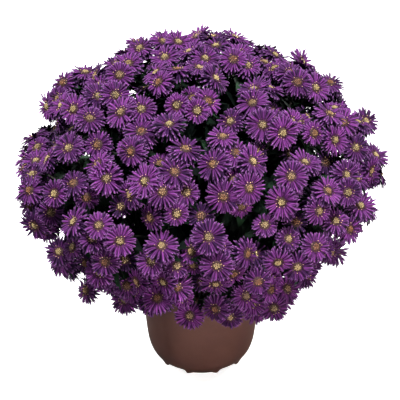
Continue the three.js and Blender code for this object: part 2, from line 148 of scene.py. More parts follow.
# Sprays and stems
SPRAYS = 28
SETTLING_ROUNDS = 4
HEART_HEIGHT = 170
HUB_DROP = (58, 70)
FORK_BELOW_HUB = 11
FORK_RADIUS = 2.4
STEM_RADIUS = 2.8
STEM_RISE = 2
STEM_PULL = 0.4
CLUMP_RADIUS = 54
HOLE_DEPTH = 25

# How the heads stray from the model's places and ways, what share of them is held back, how far these
# stand back and how large they are
LOOKS_SEED = 2027
FACING_STRAY = 0.14
CENTRE_STRAY = 3
HELD_SHARE = 0.27
HELD_DEPTH = (9, 22)
HELD_SIZE = 0.84
# Bunches of heads: how many, how far a head is drawn to the middle of its own, and how it faces away from it
BUNCHES = 82
BUNCH_PULL = 0.2
BUNCH_FACING = 0.32
# How much wider than its given outline the mound is from side to side
SIDE_SPREAD = 0.024
# Heads turn a little to the light in front: those behind the edge not at all, and those this much farther
# forwards by the full amount
LIGHT_TURN = 0.3
LIGHT_EDGE = 85
LIGHT_DEPTH = 110
# Below the first height no bunch is drawn up or down, and above the second the heads sink under their weight
LOWEST_ROWS = 165
TOP_ROWS = 325
TOP_SINKING = 0.13

# Smaller heads deeper in the mound, in the gaps between the others
DEEP_HEADS = 66
DEEP_PLACES = 900
DEEP_RADIUS = 15.5
DEEP_SIZES = (0.8, 1.1)
DEEP_BELOW = 20
DEEP_SPREAD = 7
DEEP_LOWEST = 172
DEEP_FACING = math.radians(22)
DEEP_LEAN = 0.7
DEEP_LEAST_LEAN = math.radians(15)
DEEP_STRAY = 0.3

# Heads that hang lowest, in a ring round the pot's rim
LOW_HEADS = 20
LOW_RING = (116, 124)
LOW_HEIGHT = (122, 132)
LOW_FACING = (0.3, 0.65)
LOW_SIZES = (0.92, 1.05)
LOW_SCATTER = 0.2
LOW_TURN = math.radians(-97)


# Directions and places
def unit(vectors):
    """Each vector over its own length."""
    return vectors / np.linalg.norm(vectors, axis=-1, keepdims=True)


def square_to(direction):
    """Two directions square to each given one and to each other, as cross products with a helper."""
    helper = np.where(np.abs(direction[..., 2:]) > NEARLY_UP, np.array([1.0, 0, 0]), UP)
    first = unit(np.cross(helper, direction))
    return first, np.cross(direction, first)


def around(direction, turn):
    """Directions square to the given ones, turned round them: cosine and sine shares of the square pair."""
    first, second = square_to(direction)
    return first * np.cos(turn)[..., None] + second * np.sin(turn)[..., None]


def polar(reach, azimuth, height):
    """Points at a reach from the axis, at an azimuth round it, and at a height."""
    return np.stack(np.broadcast_arrays(reach * np.cos(azimuth), reach * np.sin(azimuth), height), -1)


def outwards(azimuth, facing):
    """Unit vectors that point out from the axis at an azimuth, and up by an angle."""
    return polar(np.cos(facing), azimuth, np.sin(facing))


def even_turns(count, start=0.0):
    """Angles that part a full turn evenly, each farther on by a given share of a step."""
    return FULL_TURN * (np.arange(count) + start) / count


def cubic_curve(start, start_pull, end_pull, end, steps):
    """Cubic curves from start to end, as points and directions at equal steps of their parameter."""
    t = np.linspace(0, 1, steps)[:, None]
    ends = [np.asarray(p, float)[..., None, :] for p in (start, start_pull, end_pull, end)]
    weights = [(1 - t) ** 3, 3 * (1 - t) ** 2 * t, 3 * (1 - t) * t**2, t**3]
    slopes = [-3 * (1 - t) ** 2, 3 * (1 - t) * (1 - 3 * t), 3 * t * (2 - 3 * t), 3 * t**2]
    points = sum(w * p for w, p in zip(weights, ends))
    return points, unit(sum(w * p for w, p in zip(slopes, ends)))


def on_path(path, direction, place):
    """Points on a path at places counted in its steps, on straight lines between its own points, and the
    path's directions there."""
    step = np.minimum(place.astype(int), path.shape[-2] - 2)
    share = (place - step)[:, None]
    return path[..., step, :] * (1 - share) + path[..., step + 1, :] * share, direction[..., step, :]


# Meshes
def ring_faces(rings, sides, copies=1):
    """Quads between closed rings of points, and a cap on each end, for every copy of the shape."""
    ring, side = np.meshgrid(np.arange(rings - 1), np.arange(sides), indexing="ij")
    here = ring * sides + side
    over = ring * sides + (side + 1) % sides
    quads = np.stack([here, over, over + sides, here + sides], -1).reshape(-1, 4)
    caps = np.stack([np.arange(sides)[::-1], (rings - 1) * sides + np.arange(sides)])
    offset = np.arange(copies)[:, None, None] * rings * sides
    return [(quads + offset).reshape(-1, 4), (caps + offset).reshape(-1, sides)]


class Shapes:
    """Points and faces of many small shapes, gathered for one mesh, with values for its materials."""

    def __init__(self):
        self.points = []
        self.faces = []
        self.values = {name: [] for name in ("along", "across", "under", "tone", "age")}
        self.count = 0

    def add(self, points, faces, kind=0, **values):
        """points has the shape (..., rings, sides, 3), and kind is the place of its material in the mesh's
        list. Each value spreads over the points."""
        shape = points.shape[:-1]
        self.points.append(points.reshape(-1, 3))
        self.faces += [(f + self.count, kind) for f in faces]
        for name, kept in self.values.items():
            kept.append(np.broadcast_to(np.asarray(values.get(name, 0.0), float), shape).ravel())
        self.count += int(np.prod(shape))

    def mesh(self, name, materials):
        """One smooth mesh, in metres, with sharp edges where its faces meet at more than the sharp angle."""
        mesh = bpy.data.meshes.new(name)
        points = np.concatenate(self.points)
        loops = np.concatenate([f.ravel() for f, _ in self.faces])
        totals = np.concatenate([np.full(len(f), f.shape[1]) for f, _ in self.faces])
        mesh.vertices.add(len(points))
        mesh.vertices.foreach_set("co", (points * MM).astype(np.float32).ravel())
        mesh.loops.add(len(loops))
        mesh.loops.foreach_set("vertex_index", loops.astype(np.int32))
        mesh.polygons.add(len(totals))
        starts = np.concatenate([[0], np.cumsum(totals)[:-1]])
        mesh.polygons.foreach_set("loop_start", starts.astype(np.int32))
        kinds = np.concatenate([np.full(len(f), kind) for f, kind in self.faces])
        mesh.polygons.foreach_set("material_index", kinds.astype(np.int32))
        mesh.update(calc_edges=True)
        mesh.shade_smooth()
        for value, kept in self.values.items():
            data = mesh.attributes.new(value, "FLOAT", "POINT").data
            data.foreach_set("value", np.concatenate(kept).astype(np.float32))
        mesh.set_sharp_from_angle(angle=SHARP_ANGLE)
        for material in materials:
            mesh.materials.append(material)
        mesh.validate()
        return mesh


def new_object(name, data):
    """An object that stands at the origin of the scene, unturned."""
    thing = bpy.data.objects.new(name, data)
    bpy.context.scene.collection.objects.link(thing)
    return thing


def add_piece(name, shapes, materials, node):
    """Makes a piece of the object that rides on its one body and stands for a node of the model."""
    piece = new_object(name, shapes.mesh(name, materials))
    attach(piece, "root")
    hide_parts(node)
    return piece


# Layout of heads and sprays
def seeded_draws(seed, count):
    """Draws from 0 to 1, as the model makes them: each state is the last times a factor, modulo a prime."""
    states = []
    state = seed
    for _ in range(count):
        state = state * DRAW_FACTOR % DRAW_PRIME
        states.append(state)
    return np.array(states) / DRAW_PRIME


class Mound:
    """A half ellipsoid down to its widest ring, with a straight skirt drawn in under it."""

    def __init__(self):
        part = np.arange(OUTLINE_STEPS + 1) * 2 / OUTLINE_STEPS
        angle = np.minimum(part, 1) * math.pi / 2
        below = np.maximum(part - 1, 0)
        self.radius = MOUND_RADIUS * np.sin(angle) + below * (SKIRT_RADIUS - MOUND_RADIUS)
        self.height = MOUND_WIDEST + MOUND_DOME * np.cos(angle) * (part <= 1)
        self.height = self.height + below * (SKIRT_HEIGHT - MOUND_WIDEST)
        skirt_lean = -math.atan2(MOUND_RADIUS - SKIRT_RADIUS, MOUND_WIDEST - SKIRT_HEIGHT)
        dome_lean = np.arctan2(MOUND_RADIUS * np.cos(angle), MOUND_DOME * np.sin(angle))
        self.lean = np.where(part <= 1, dome_lean, skirt_lean)
        step = np.hypot(np.diff(self.radius), np.diff(self.height))
        self.along = np.concatenate([[0], np.cumsum(step)])
        rings = step * math.pi * (self.radius[1:] + self.radius[:-1])
        self.area = np.concatenate([[0], np.cumsum(rings)])

    def place(self, count, slide=0.0, turn=0.0, depth=0.0):
        """Points of a golden spiral, a golden angle and an equal share of the surface apart, with each one's
        azimuth and the mound's lean there. They may slide down the outline, turn round it and stand out by
        some millimetres, and the swells then scale their reach and height."""
        index = np.arange(count)
        along = np.interp(self.area[-1] * (index + 0.5) / count, self.area, self.along) + slide
        radius = np.interp(along, self.along, self.radius)
        height = np.interp(along, self.along, self.height)
        lean = np.interp(along, self.along, self.lean)
        azimuth = index * GOLDEN_ANGLE + SPIRAL_TURN + turn / np.maximum(radius, LEAST_TURNING_RADIUS)
        factor = 1 + sum(
            swell * np.sin(round_it * azimuth + start) * np.sin((lean + math.pi / 2) * wind + SWELL_START)
            for round_it, swell, start, wind in SWELLS
        )
        reach = (radius + np.cos(lean) * depth) * factor
        rise = MOUND_WIDEST + (height - MOUND_WIDEST) * factor + np.sin(lean) * depth
        return polar(reach, azimuth, rise), azimuth, lean


HEAD_PARTS = ("centre", "normal", "radius", "spin")


class Heads:
    """Where each flower head is, which way it faces, its radius and its turn about its own middle."""

    def __init__(self, centre, normal, radius, spin):
        self.centre = centre
        self.normal = normal
        self.radius = radius
        self.spin = spin

    def some(self, chosen):
        """The chosen heads alone."""
        return Heads(*(getattr(self, part)[chosen] for part in HEAD_PARTS))


def joined(first, second):
    """The heads of both."""
    both = ([getattr(heads, part) for heads in (first, second)] for part in HEAD_PARTS)
    return Heads(*(np.concatenate(parts) for parts in both))


def lay_out_heads(mound, count, seed):
    """The model's heads: each place of the spiral slides, turns and sinks by a draw, and its head is tipped,
    headed, sized and spun by the next four."""
    draw = seeded_draws(seed, HEAD_DRAWS * count).reshape(count, HEAD_DRAWS).T
    slide = SHIFT * (2 * draw[0] - 1)
    turn = SHIFT * (2 * draw[1] - 1)
    centre, azimuth, lean = mound.place(count, slide, turn, DEPTH_SPREAD * (DEPTH_BIAS - draw[2]))
    tilt = np.where(lean > 0, FACING_ABOVE, FACING_BELOW) * np.degrees(lean)
    facing = np.radians(FACING_SIDE + tilt + FACING_SPREAD * (draw[3] - 0.5))
    normal = outwards(azimuth + HEADING_SPREAD * (draw[4] - 0.5), facing)
    return Heads(centre, normal, HEAD_RADIUS * (SIZE_LEAST + SIZE_SPREAD * draw[5]), FULL_TURN * draw[6])


def clear_reach(heads, others, way):
    """How far each head's petals go, along given ways, before the plane half way to the neighbour that they
    meet first, and how high that neighbour stands over the head."""
    apart = others.centre[None] - heads.centre[:, None]
    far = np.linalg.norm(apart, axis=-1)
    towards = np.einsum("hwk,hok->hwo", way, apart)
    near = (far > TINY) & (far < NEIGHBOUR_RANGE * HEAD_RADIUS)
    meets = near[:, None] & (towards > TINY)
    half = np.where(meets, far[:, None] ** 2 / 2 / np.where(meets, towards, 1), np.inf)
    nearest = half.argmin(-1)
    lifted = np.einsum("hok,hk->ho", apart, heads.normal)
    return half.min(-1), np.take_along_axis(lifted, nearest, 1)


def centring(heads):
    """The middle of the box round the model's petal stars, on the ground."""
    way = around(heads.normal[:, None], heads.spin[:, None] + even_turns(STAR_POINTS))
    reach = np.minimum(heads.radius[:, None], clear_reach(heads, heads, way)[0] - CLEAR)
    reach = reach * np.where(np.arange(STAR_POINTS) % 2, STAR_NOTCH, 1)
    ring = heads.centre[:, None] + way * reach[..., None]
    middle = (ring.min((0, 1)) + ring.max((0, 1))) / 2
    return middle * [1, 1, 0]


class Sprays:
    """Each spray's hub, where its pedicels meet, the fork under it, its axis and its stem's foot. A spray
    has the heads nearest to its middle, and each middle moves to their mean a few times over."""

    def __init__(self, mound, heads, middle_of_all):
        middle = mound.place(SPRAYS)[0] - middle_of_all
        for _ in range(SETTLING_ROUNDS):
            owner = self.nearest(middle, heads)
            middle = np.stack([heads.centre[owner == k].mean(0) for k in range(SPRAYS)])
        self.owner = self.nearest(middle, heads)
        self.middle = middle
        self.axis = unit(middle - HEART_HEIGHT * UP)
        height = (middle[:, 2] - SKIRT_HEIGHT) / (MOUND_WIDEST + MOUND_DOME - SKIRT_HEIGHT)
        drop = HUB_DROP[0] + (HUB_DROP[1] - HUB_DROP[0]) * height
        self.hub = middle - self.axis * drop[:, None]
        self.fork = self.hub - self.axis * FORK_BELOW_HUB
        azimuth = np.arctan2(middle[:, 1], middle[:, 0])
        self.foot = polar(CLUMP_RADIUS * np.sqrt((np.arange(SPRAYS) + 0.5) / SPRAYS), azimuth, SOIL_TOP)

    @staticmethod
    def nearest(middle, heads):
        """Which of the middles is nearest to each head."""
        return np.linalg.norm(heads.centre[:, None] - middle[None], axis=-1).argmin(1)


# How the heads depart from the model's
def strayed(heads, stray, shift, rng):
    """The same heads, each facing a little away from its given way and moved a little."""
    normal = unit(heads.normal + rng.normal(0, stray, heads.normal.shape))
    centre = heads.centre + rng.uniform(-shift, shift, heads.centre.shape)
    return Heads(centre, normal, heads.radius, heads.spin)


def gather(heads, rng):
    """Draws each head part of the way to the middle of its bunch and turns it outwards from there, so that
    dark gaps open between the bunches. A bunch is the heads that lie nearest to one drawn at random. The
    heads at the top then sink by a share of their height there, and all spread from side to side."""
    first = rng.choice(len(heads.centre), BUNCHES, replace=False)
    own = Sprays.nearest(heads.centre[first], heads)
    total = np.zeros((BUNCHES, 3))
    np.add.at(total, own, heads.centre)
    middle = total / np.bincount(own, minlength=BUNCHES)[:, None]
    away = (heads.centre - middle[own]) * np.where(heads.centre[:, 2:] < LOWEST_ROWS, [1, 1, 0], 1)
    heads.centre = heads.centre - BUNCH_PULL * away
    heads.centre[:, 2] -= TOP_SINKING * np.maximum(heads.centre[:, 2] - TOP_ROWS, 0)
    heads.centre[:, 0] *= 1 + SIDE_SPREAD
    heads.normal = unit(heads.normal + BUNCH_FACING * away / HEAD_RADIUS)


def hold_back(heads, roots, rng):
    """Draws some heads back towards the foot of their stalks, into the gaps, and makes them smaller."""
    held = rng.uniform(0, 1, len(heads.centre)) < HELD_SHARE
    back = held * rng.uniform(*HELD_DEPTH, len(held))
    heads.centre = heads.centre - unit(heads.centre - roots) * back[:, None]
    heads.radius = heads.radius * np.where(held, HELD_SIZE, 1)


def turn_to_light(heads):
    """Turns heads towards the front by a share of -Y that grows from a little behind the middle forwards."""
    share = LIGHT_TURN * np.clip((LIGHT_EDGE - heads.centre[:, 1]) / LIGHT_DEPTH, 0, 1)
    heads.normal = unit(heads.normal - share[:, None] * np.array([0.0, 1.0, 0.0]))


def low_heads(rng):
    """A ring of heads that hang round the pot's rim, evenly spaced but each a little astray."""
    azimuth = LOW_TURN + even_turns(LOW_HEADS, rng.uniform(-LOW_SCATTER, LOW_SCATTER, LOW_HEADS))
    reach = rng.uniform(*LOW_RING, LOW_HEADS)
    facing = rng.uniform(*LOW_FACING, LOW_HEADS)
    centre = polar(reach, azimuth, rng.uniform(*LOW_HEIGHT, LOW_HEADS))
    radius = HEAD_RADIUS * rng.uniform(*LOW_SIZES, LOW_HEADS)
    return Heads(centre, outwards(azimuth, facing), radius, rng.uniform(0, FULL_TURN, LOW_HEADS))


def deep_heads(mound, middle, heads, rng):
    """Smaller heads some way under the mound's surface. Each goes to the place on a fine spiral that is
    farthest from every head so far, and so into the widest gap that is left."""
    depth = DEEP_SPREAD * rng.uniform(-1, 1, DEEP_PLACES) - DEEP_BELOW
    centre, azimuth, lean = mound.place(DEEP_PLACES, depth=depth)
    centre = centre - middle
    gap = np.linalg.norm(centre[:, None] - heads.centre, axis=-1).min(1) * (centre[:, 2] > DEEP_LOWEST)
    chosen = []
    for _ in range(DEEP_HEADS):
        chosen.append(gap.argmax())
        gap = np.minimum(gap, np.linalg.norm(centre - centre[chosen[-1]], axis=-1))
    normal = outwards(azimuth[chosen], np.maximum(lean[chosen], DEEP_LEAST_LEAN) * DEEP_LEAN + DEEP_FACING)
    radius = DEEP_RADIUS * rng.uniform(*DEEP_SIZES, DEEP_HEADS)
    deep = Heads(centre[chosen], normal, radius, rng.uniform(0, FULL_TURN, DEEP_HEADS))
    return strayed(deep, DEEP_STRAY, 0, rng)


# Blades: rays, leaves and bracts
class Blade:
    """The outline of a blade: where its stations lie along it, its width there, and its closed section.

    Each corner of the section has how far it lies across, in half widths, and how high, in millimetres
    where the blade is widest. The edges also rise by `fold` half widths."""

    def __init__(self, stations, widths, section, fold=0.0):
        self.stations = np.array(stations)
        self.widths = np.array(widths)
        self.across, self.height = np.array(section).T
        self.fold = fold

    def grow(self, root, way, up, length, width, lift, curl, twist=0.0, sway=0.0):
        """Closed strips with the blade's section, carried along bent middle lines.

        A middle line leaves its root `lift` radians above `way` and has turned by `curl` at its tip; it
        sways sideways by `sway` lengths, and the section has turned by `twist` round it at the tip."""
        length, width, lift, curl, twist, sway = (
            np.broadcast_to(np.asarray(v, float), root.shape[:-1])[..., None]
            for v in (length, width, lift, curl, twist, sway)
        )
        side = np.cross(up, way)[..., None, :]
        way, up = way[..., None, :], up[..., None, :]
        t = self.stations
        angle = lift + curl * t
        between = lift + curl * (t[1:] + t[:-1]) / 2
        step = length * np.diff(t)
        start = np.zeros(step.shape[:-1] + (1,))
        out = np.concatenate([start, np.cumsum(step * np.cos(between), -1)], -1)[..., None]
        rise = np.concatenate([start, np.cumsum(step * np.sin(between), -1)], -1)[..., None]
        drift = (sway * length * t**2)[..., None]
        line = root[..., None, :] + way * out + up * rise + side * drift
        tip_up = np.cos(angle)[..., None] * up - np.sin(angle)[..., None] * way
        turn = (twist * t)[..., None]
        face = (np.cos(turn) * tip_up + np.sin(turn) * side)[..., None, :]
        across = (np.cos(turn) * side - np.sin(turn) * tip_up)[..., None, :]
        half = (width * self.widths / 2)[..., None, None]
        folded = half * self.fold * np.abs(self.across)[:, None]
        high = self.widths[:, None, None] * self.height[:, None] + folded
        return line[..., None, :] + across * half * self.across[:, None] + face * high

    def add(self, shapes, points, **values):
        """Adds blades to shapes, with how far along, across and under each point is."""
        copies = int(np.prod(points.shape[:-3]))
        values = {name: np.asarray(v, float)[..., None, None] for name, v in values.items()}
        values["along"] = self.stations[:, None]
        values["across"] = (1 - self.across) / 2
        values["under"] = (self.height < 0).astype(float)
        shapes.add(points, ring_faces(len(self.stations), len(self.across), copies), **values)


def tubes(path, direction, radius, sides):
    """Closed round tubes: rings of the given radii, square to the path."""
    side = square_to(unit(path[..., -1, :] - path[..., 0, :]))[0]
    first = np.broadcast_to(side[..., None, :], direction.shape)
    first = unit(first - direction * (first * direction).sum(-1, keepdims=True))
    second = np.cross(direction, first)
    turn = even_turns(sides)[:, None]
    spokes = first[..., None, :] * np.cos(turn) + second[..., None, :] * np.sin(turn)
    return path[..., None, :] + spokes * np.asarray(radius, float)[..., None, None]


def straight_tubes(path, direction, radius, sides):
    """Tubes that keep one direction from end to end."""
    direction = np.broadcast_to(direction, path.shape)
    return tubes(path, direction, np.broadcast_to(radius, path.shape[:-1]), sides)


def add_tubes(shapes, points, kind=0, **values):
    """Adds tubes to shapes, with how far along each ring is."""
    rings, sides = points.shape[-3:-1]
    copies = int(np.prod(points.shape[:-3]))
    values = {name: np.asarray(v, float)[..., None, None] for name, v in values.items()}
    along = np.linspace(0, 1, rings)[:, None]
    shapes.add(points, ring_faces(rings, sides, copies), kind, along=along, **values)


def turned(heads, profile, sides):
    """Shapes turned round each head's normal, from a profile of radii and heights."""
    radius, height = np.array(profile).T
    path = heads.centre[:, None] + heads.normal[:, None] * height[:, None]
    return straight_tubes(path, heads.normal[:, None], radius, sides)


# Rays of a head
RIDGED = [(1, 0), (0, 0.75), (-1, 0)]
RAY = Blade([0, 0.4, 0.78, 1], [0.56, 0.98, 1, 0.34], RIDGED)
SHORT_RAY = Blade([0, 0.6, 1], [0.45, 1, 0.42], RIDGED)
# Each row of rays, the lowest first: its blade, how many rays, by what share of a step they are turned, its
# reach, where it roots on the head, out and up, its lift in degrees when the head is young and when it is
# old, and its painted shade: how much darker than the head's own tone it is, for the shade of the rows above
ROW_VALUES = ("blade", "rays", "turn", "reach", "root", "height", "lift", "painted_shade")
ROWS = [dict(zip(ROW_VALUES, row)) for row in (
    (SHORT_RAY, 18, 0.3, 0.88, 4.2, -2.2, (-18, -42), 0.9),
    (RAY, 22, 0.0, 1.0, 4.3, -1.2, (2, -22), 0.8),
    (RAY, 22, 0.5, 0.97, 4.2, -0.4, (16, -2), 0.0),
    (SHORT_RAY, 13, 0.2, 0.84, 4.9, 0.2, (26, 8), 0.0),
)]
# The deep heads' rows carry painted shade too: they are darkened for the shade inside the mound.
DEEP_ROWS = [dict(zip(ROW_VALUES, row)) for row in (
    (SHORT_RAY, 18, 0.0, 1.0, 4.4, -1.0, (10, -18), 1.0),
    (SHORT_RAY, 16, 0.5, 0.92, 4.2, 0.0, (28, 4), 0.8),
)]
RAY_WIDTH = 2.75
RAY_CURL = math.radians(-20)
# How rays differ: round the head in shares of a step, in reach, lift, curl, width, twist, sway and tone
RAY_SCATTER = 0.24
RAY_REACHES = (0.93, 1.04)
LIFT_STRAY = 0.1
RAY_CURLS = (-0.2, 1.6)
RAY_WIDTHS = (0.85, 1.15)
TWIST_STRAY = 0.25
SWAY_STRAY = 0.05
TONE_STRAY = 0.18
HEAD_TONES = (0, 0.8)
# How far a ray would turn up or down for a neighbour that took all its reach, how much of the reach counts
# at most, and how much shorter a steep ray may look from above
DUCKING = math.radians(34)
MOST_CROWDING = 0.6
LEAST_FORESHORTENING = 0.8


def rays_of(heads, row, age, others, rng):
    """One row of rays on every head. A ray that meets a neighbouring head ducks under it or rides over."""
    shape = (len(heads.centre), row["rays"])
    share = np.arange(row["rays"]) + row["turn"] + rng.uniform(-RAY_SCATTER, RAY_SCATTER, shape)
    way = around(heads.normal[:, None], heads.spin[:, None] + FULL_TURN * share / row["rays"])
    up = np.broadcast_to(heads.normal[:, None], way.shape)
    half, lifted = clear_reach(heads, others, way)
    reach = heads.radius[:, None] * row["reach"] * rng.uniform(*RAY_REACHES, shape)
    crowding = np.clip(1 - half / reach, 0, MOST_CROWDING)
    young, old = np.radians(row["lift"])
    lift = young + (old - young) * age[:, None] + rng.normal(0, LIFT_STRAY, shape)
    lift = lift - np.sign(lifted) * crowding * DUCKING
    curl = RAY_CURL * rng.uniform(*RAY_CURLS, shape)
    root = heads.centre[:, None] + way * row["root"] + up * row["height"]
    flat = reach - row["root"]
    length = flat / np.maximum(np.cos(lift + curl / 2), LEAST_FORESHORTENING)
    width = RAY_WIDTH * rng.uniform(*RAY_WIDTHS, shape)
    twist = rng.normal(0, TWIST_STRAY, shape)
    sway = rng.normal(0, SWAY_STRAY, shape)
    return row["blade"].grow(root, way, up, length, width, lift, curl, twist, sway)


# Disc and florets of a head
DISC_RADIUS = 5.1
DISC_PROFILE = [(4.2, -1.4), (5.6, -0.3), (4.7, 0.7), (2.0, 1.3)]
DISC_SIDES = 9
# The bed of the florets: how high its middle lies, and how much lower it is at the disc's radius
BED_HEIGHT = 0.9
BED_SINK = 1.1
# Which part of the disc a piece belongs to, kept in `across` for its material
BUTTON, BED, RING = 0.0, 0.5, 1.0
FLORET_SIDES = 3
FLORET_LEAN = 0.6
FLORET_STRAY = 0.08
FLORET_HEIGHTS = (0.75, 1.2)
# Reaches are in disc radii. A button of one floret would have the given width, and more share it out
BUTTON_REACH = 0.56
BUTTON_HEIGHT = 1.5
BUTTON_WIDTH = 3.0
BUTTON_TAPER = 0.8
RING_REACH = 0.96
RING_STAGGER = 0.1
RING_HEIGHT = 2.6
RING_WIDTHS = (0.34, 0.6)


def florets_of(heads, out, turn, tall, width, rng):
    """Short florets on the dome of each disc, which falls with the square of `out`. They lean outwards as
    they near its edge."""
    way = around(heads.normal[:, None], heads.spin[:, None] + turn)
    normal = heads.normal[:, None]
    foot = heads.centre[:, None] + way * (DISC_RADIUS * out)[:, None]
    foot = foot + normal * (BED_HEIGHT - BED_SINK * out**2)[:, None]
    lean = unit(normal + way * (FLORET_LEAN * out)[:, None] + rng.normal(0, FLORET_STRAY, way.shape))
    rise = tall * rng.uniform(*FLORET_HEIGHTS, foot.shape[:-1])
    path = foot[..., None, :] + lean[..., None, :] * rise[..., None, None] * np.array([[0.0], [1.0]])
    return straight_tubes(path, lean[..., None, :], width, FLORET_SIDES)


def add_florets(discs, heads, age, counts, rng):
    """A button of short florets on a golden spiral, closed at first, and a staggered ring of open ones."""
    index = np.arange(counts[0])
    out = BUTTON_REACH * np.sqrt((index + 0.5) / counts[0])
    wide = BUTTON_WIDTH / math.sqrt(counts[0])
    widths = [wide, BUTTON_TAPER * wide]
    button = florets_of(heads, out, index * GOLDEN_ANGLE, BUTTON_HEIGHT, widths, rng)
    out = RING_REACH + RING_STAGGER * (-1.0) ** np.arange(counts[1])
    ring = florets_of(heads, out, even_turns(counts[1]), RING_HEIGHT, RING_WIDTHS, rng)
    for florets, part in ((button, BUTTON), (ring, RING)):
        tone = rng.uniform(0, 1, florets.shape[:2])
        ages = np.broadcast_to(age[:, None], tone.shape)
        add_tubes(discs, florets, tone=tone, age=ages, across=np.full(tone.shape, part))


# Cup and bracts of a head
CUP_PROFILE = [(0.9, -7.6), (2.2, -6.2), (3.7, -3.6), (4.4, -1.2)]
CUP_SIDES = 7
BRACT = Blade([0, 0.5, 1], [0.8, 1, 0.2], RIDGED)
BRACTS = 6
BRACT_OUT = 3.2
BRACT_DROP = 5.2
BRACT_LENGTH = 6
BRACT_WIDTH = 1.5
BRACT_LIFTS = (0.7, 1.1)
BRACT_CURL = -0.7
BRACT_TONES = (0.3, 0.9)


def add_cups(greens, heads, tone, rng):
    """A cup turned under each head, and bracts that lie up round it and curl in."""
    add_tubes(greens, turned(heads, CUP_PROFILE, CUP_SIDES), tone=tone)
    way = around(heads.normal[:, None], heads.spin[:, None] + even_turns(BRACTS))
    up = np.broadcast_to(heads.normal[:, None], way.shape)
    root = heads.centre[:, None] + way * BRACT_OUT - up * BRACT_DROP
    lift = rng.uniform(*BRACT_LIFTS, way.shape[:2])
    bracts = BRACT.grow(root, way, up, BRACT_LENGTH, BRACT_WIDTH, lift, BRACT_CURL)
    BRACT.add(greens, bracts, tone=rng.uniform(*BRACT_TONES, way.shape[:2]))


# What each outer head has, and each deep one: rows of rays, florets in its button and in the ring round
# that, and small leaves on its pedicel
OUTER = {"rows": ROWS, "florets": (19, 14), "leaves": 7}
DEEP = {"rows": DEEP_ROWS, "florets": (9, 8), "leaves": 6}


def add_heads(rays, discs, greens, heads, others, has, rng):
    """Whole heads: their rows of rays, which the other heads crowd, their discs and their cups. Each head
    has its own age, which drops its rays and browns its disc, and its own tone, to which each row adds its
    painted shade."""
    count = len(heads.centre)
    age = rng.uniform(0, 1, count)
    tone = rng.uniform(*HEAD_TONES, count)
    for row in has["rows"]:
        points = rays_of(heads, row, age, others, rng)
        stray = rng.normal(0, TONE_STRAY, points.shape[:2])
        # A ray's tone is its head's own tone and a random stray, plus its row's painted shade from the rows
        # above.
        ray_tone_and_shade = np.clip(tone[:, None] + row["painted_shade"] + stray, 0, 1)
        row["blade"].add(rays, points, tone=ray_tone_and_shade, age=np.broadcast_to(age[:, None], ray_tone_and_shade.shape))
    add_tubes(discs, turned(heads, DISC_PROFILE, DISC_SIDES), age=age, across=np.full(count, BED))
    add_florets(discs, heads, age, has["florets"], rng)
    add_cups(greens, heads, tone, rng)


# Stalks and leaves. Stalks take the second material of a green piece, and leaves its first.
STALK = 1
STALK_TONE = 0.3
PEDICEL_SIDES = 5
PEDICEL_STEPS = 7
PEDICEL_RADIUS = (1.15, 0.85)
PEDICEL_TONES = (0.2, 0.7)
# How far above the hub a pedicel leaves its spindle: the rise times the cosine between its way and the axis,
# less the drop
SPINDLE_RISE = 14
SPINDLE_DROP = 9
# How much it starts along the axis, and how far its curve is drawn from each end, in shares of its length
PEDICEL_LEAN = 0.6
START_PULL = 0.3
END_PULL = 0.28
STALK_ABOVE_HUB = 12
STALK_RINGS = 4
STALK_START = -0.1
STALK_TIP_RADIUS = 0.9
STEM_SIDES = 8
STEM_STEPS = 16
GROOVED = [(1, 0), (0, 0), (-1, 0), (0, -0.4)]
SMALL_LEAF = Blade([0, 0.35, 0.7, 1], [0.35, 1, 0.75, 0.06], GROOVED, 0.3)
LEAF = Blade([0, 0.14, 0.35, 0.6, 0.82, 1], [0.3, 0.72, 1, 0.9, 0.5, 0.05], GROOVED, 0.32)
# How leaves bend: the range of their lift at the stalk, of their curl, and how their twist strays
SPRAY_LEAF_BEND = ((-0.1, 0.3), (-0.9, -0.1), 0.3)
STEM_LEAF_BEND = ((-0.1, 0.2), (-1.1, -0.2), 0.35)
# From where to where along a pedicel its leaves are. The second number of their lean and of their length is
# how much these have lost at its end.
SMALL_LEAF_PLACES = (0.2, 0.88)
SMALL_LEAF_LEAN = (0.9, 0.7)
SMALL_LEAF_LENGTH = (44, 29)
SMALL_LEAF_LENGTHS = (0.75, 1.15)
SMALL_LEAF_WIDTHS = (0.26, 0.34)
# Leaves on a stem and round its hub: how many, how long and how wide, and how they differ
STEM_LEAVES = (38, 46, 10)
HUB_LEAVES = (46, 52, 13)
LEAF_LEANS = (0.2, 0.9)
LEAF_LENGTHS = (0.6, 1.05)
LEAF_WIDTHS = (0.75, 1.05)
STEM_LEAF_ENDS = (0.8, 1.2)
HUB_LEAVES_END = 0.9
LEAF_TONE = 0.8
# Leaves keep this far above the soil and the rim, which starts this far inside its own radius for them
LEAF_CLEARANCE = 3
RIM_MARGIN = 12


def leaves_on(blade, root, along, turn, lean, length, width, bend, rng):
    """Lance-shaped leaves that leave a stalk all round it, lean along it, bend down and twist a little."""
    lifts, curls, twist = bend
    shape = root.shape[:-1]
    way = unit(along * lean[..., None] + around(along, turn))
    up = unit(along - way * (along * way).sum(-1, keepdims=True))
    lift = rng.uniform(*lifts, shape)
    curl = rng.uniform(*curls, shape)
    return blade.grow(root, way, up, length, width, lift, curl, rng.normal(0, twist, shape))


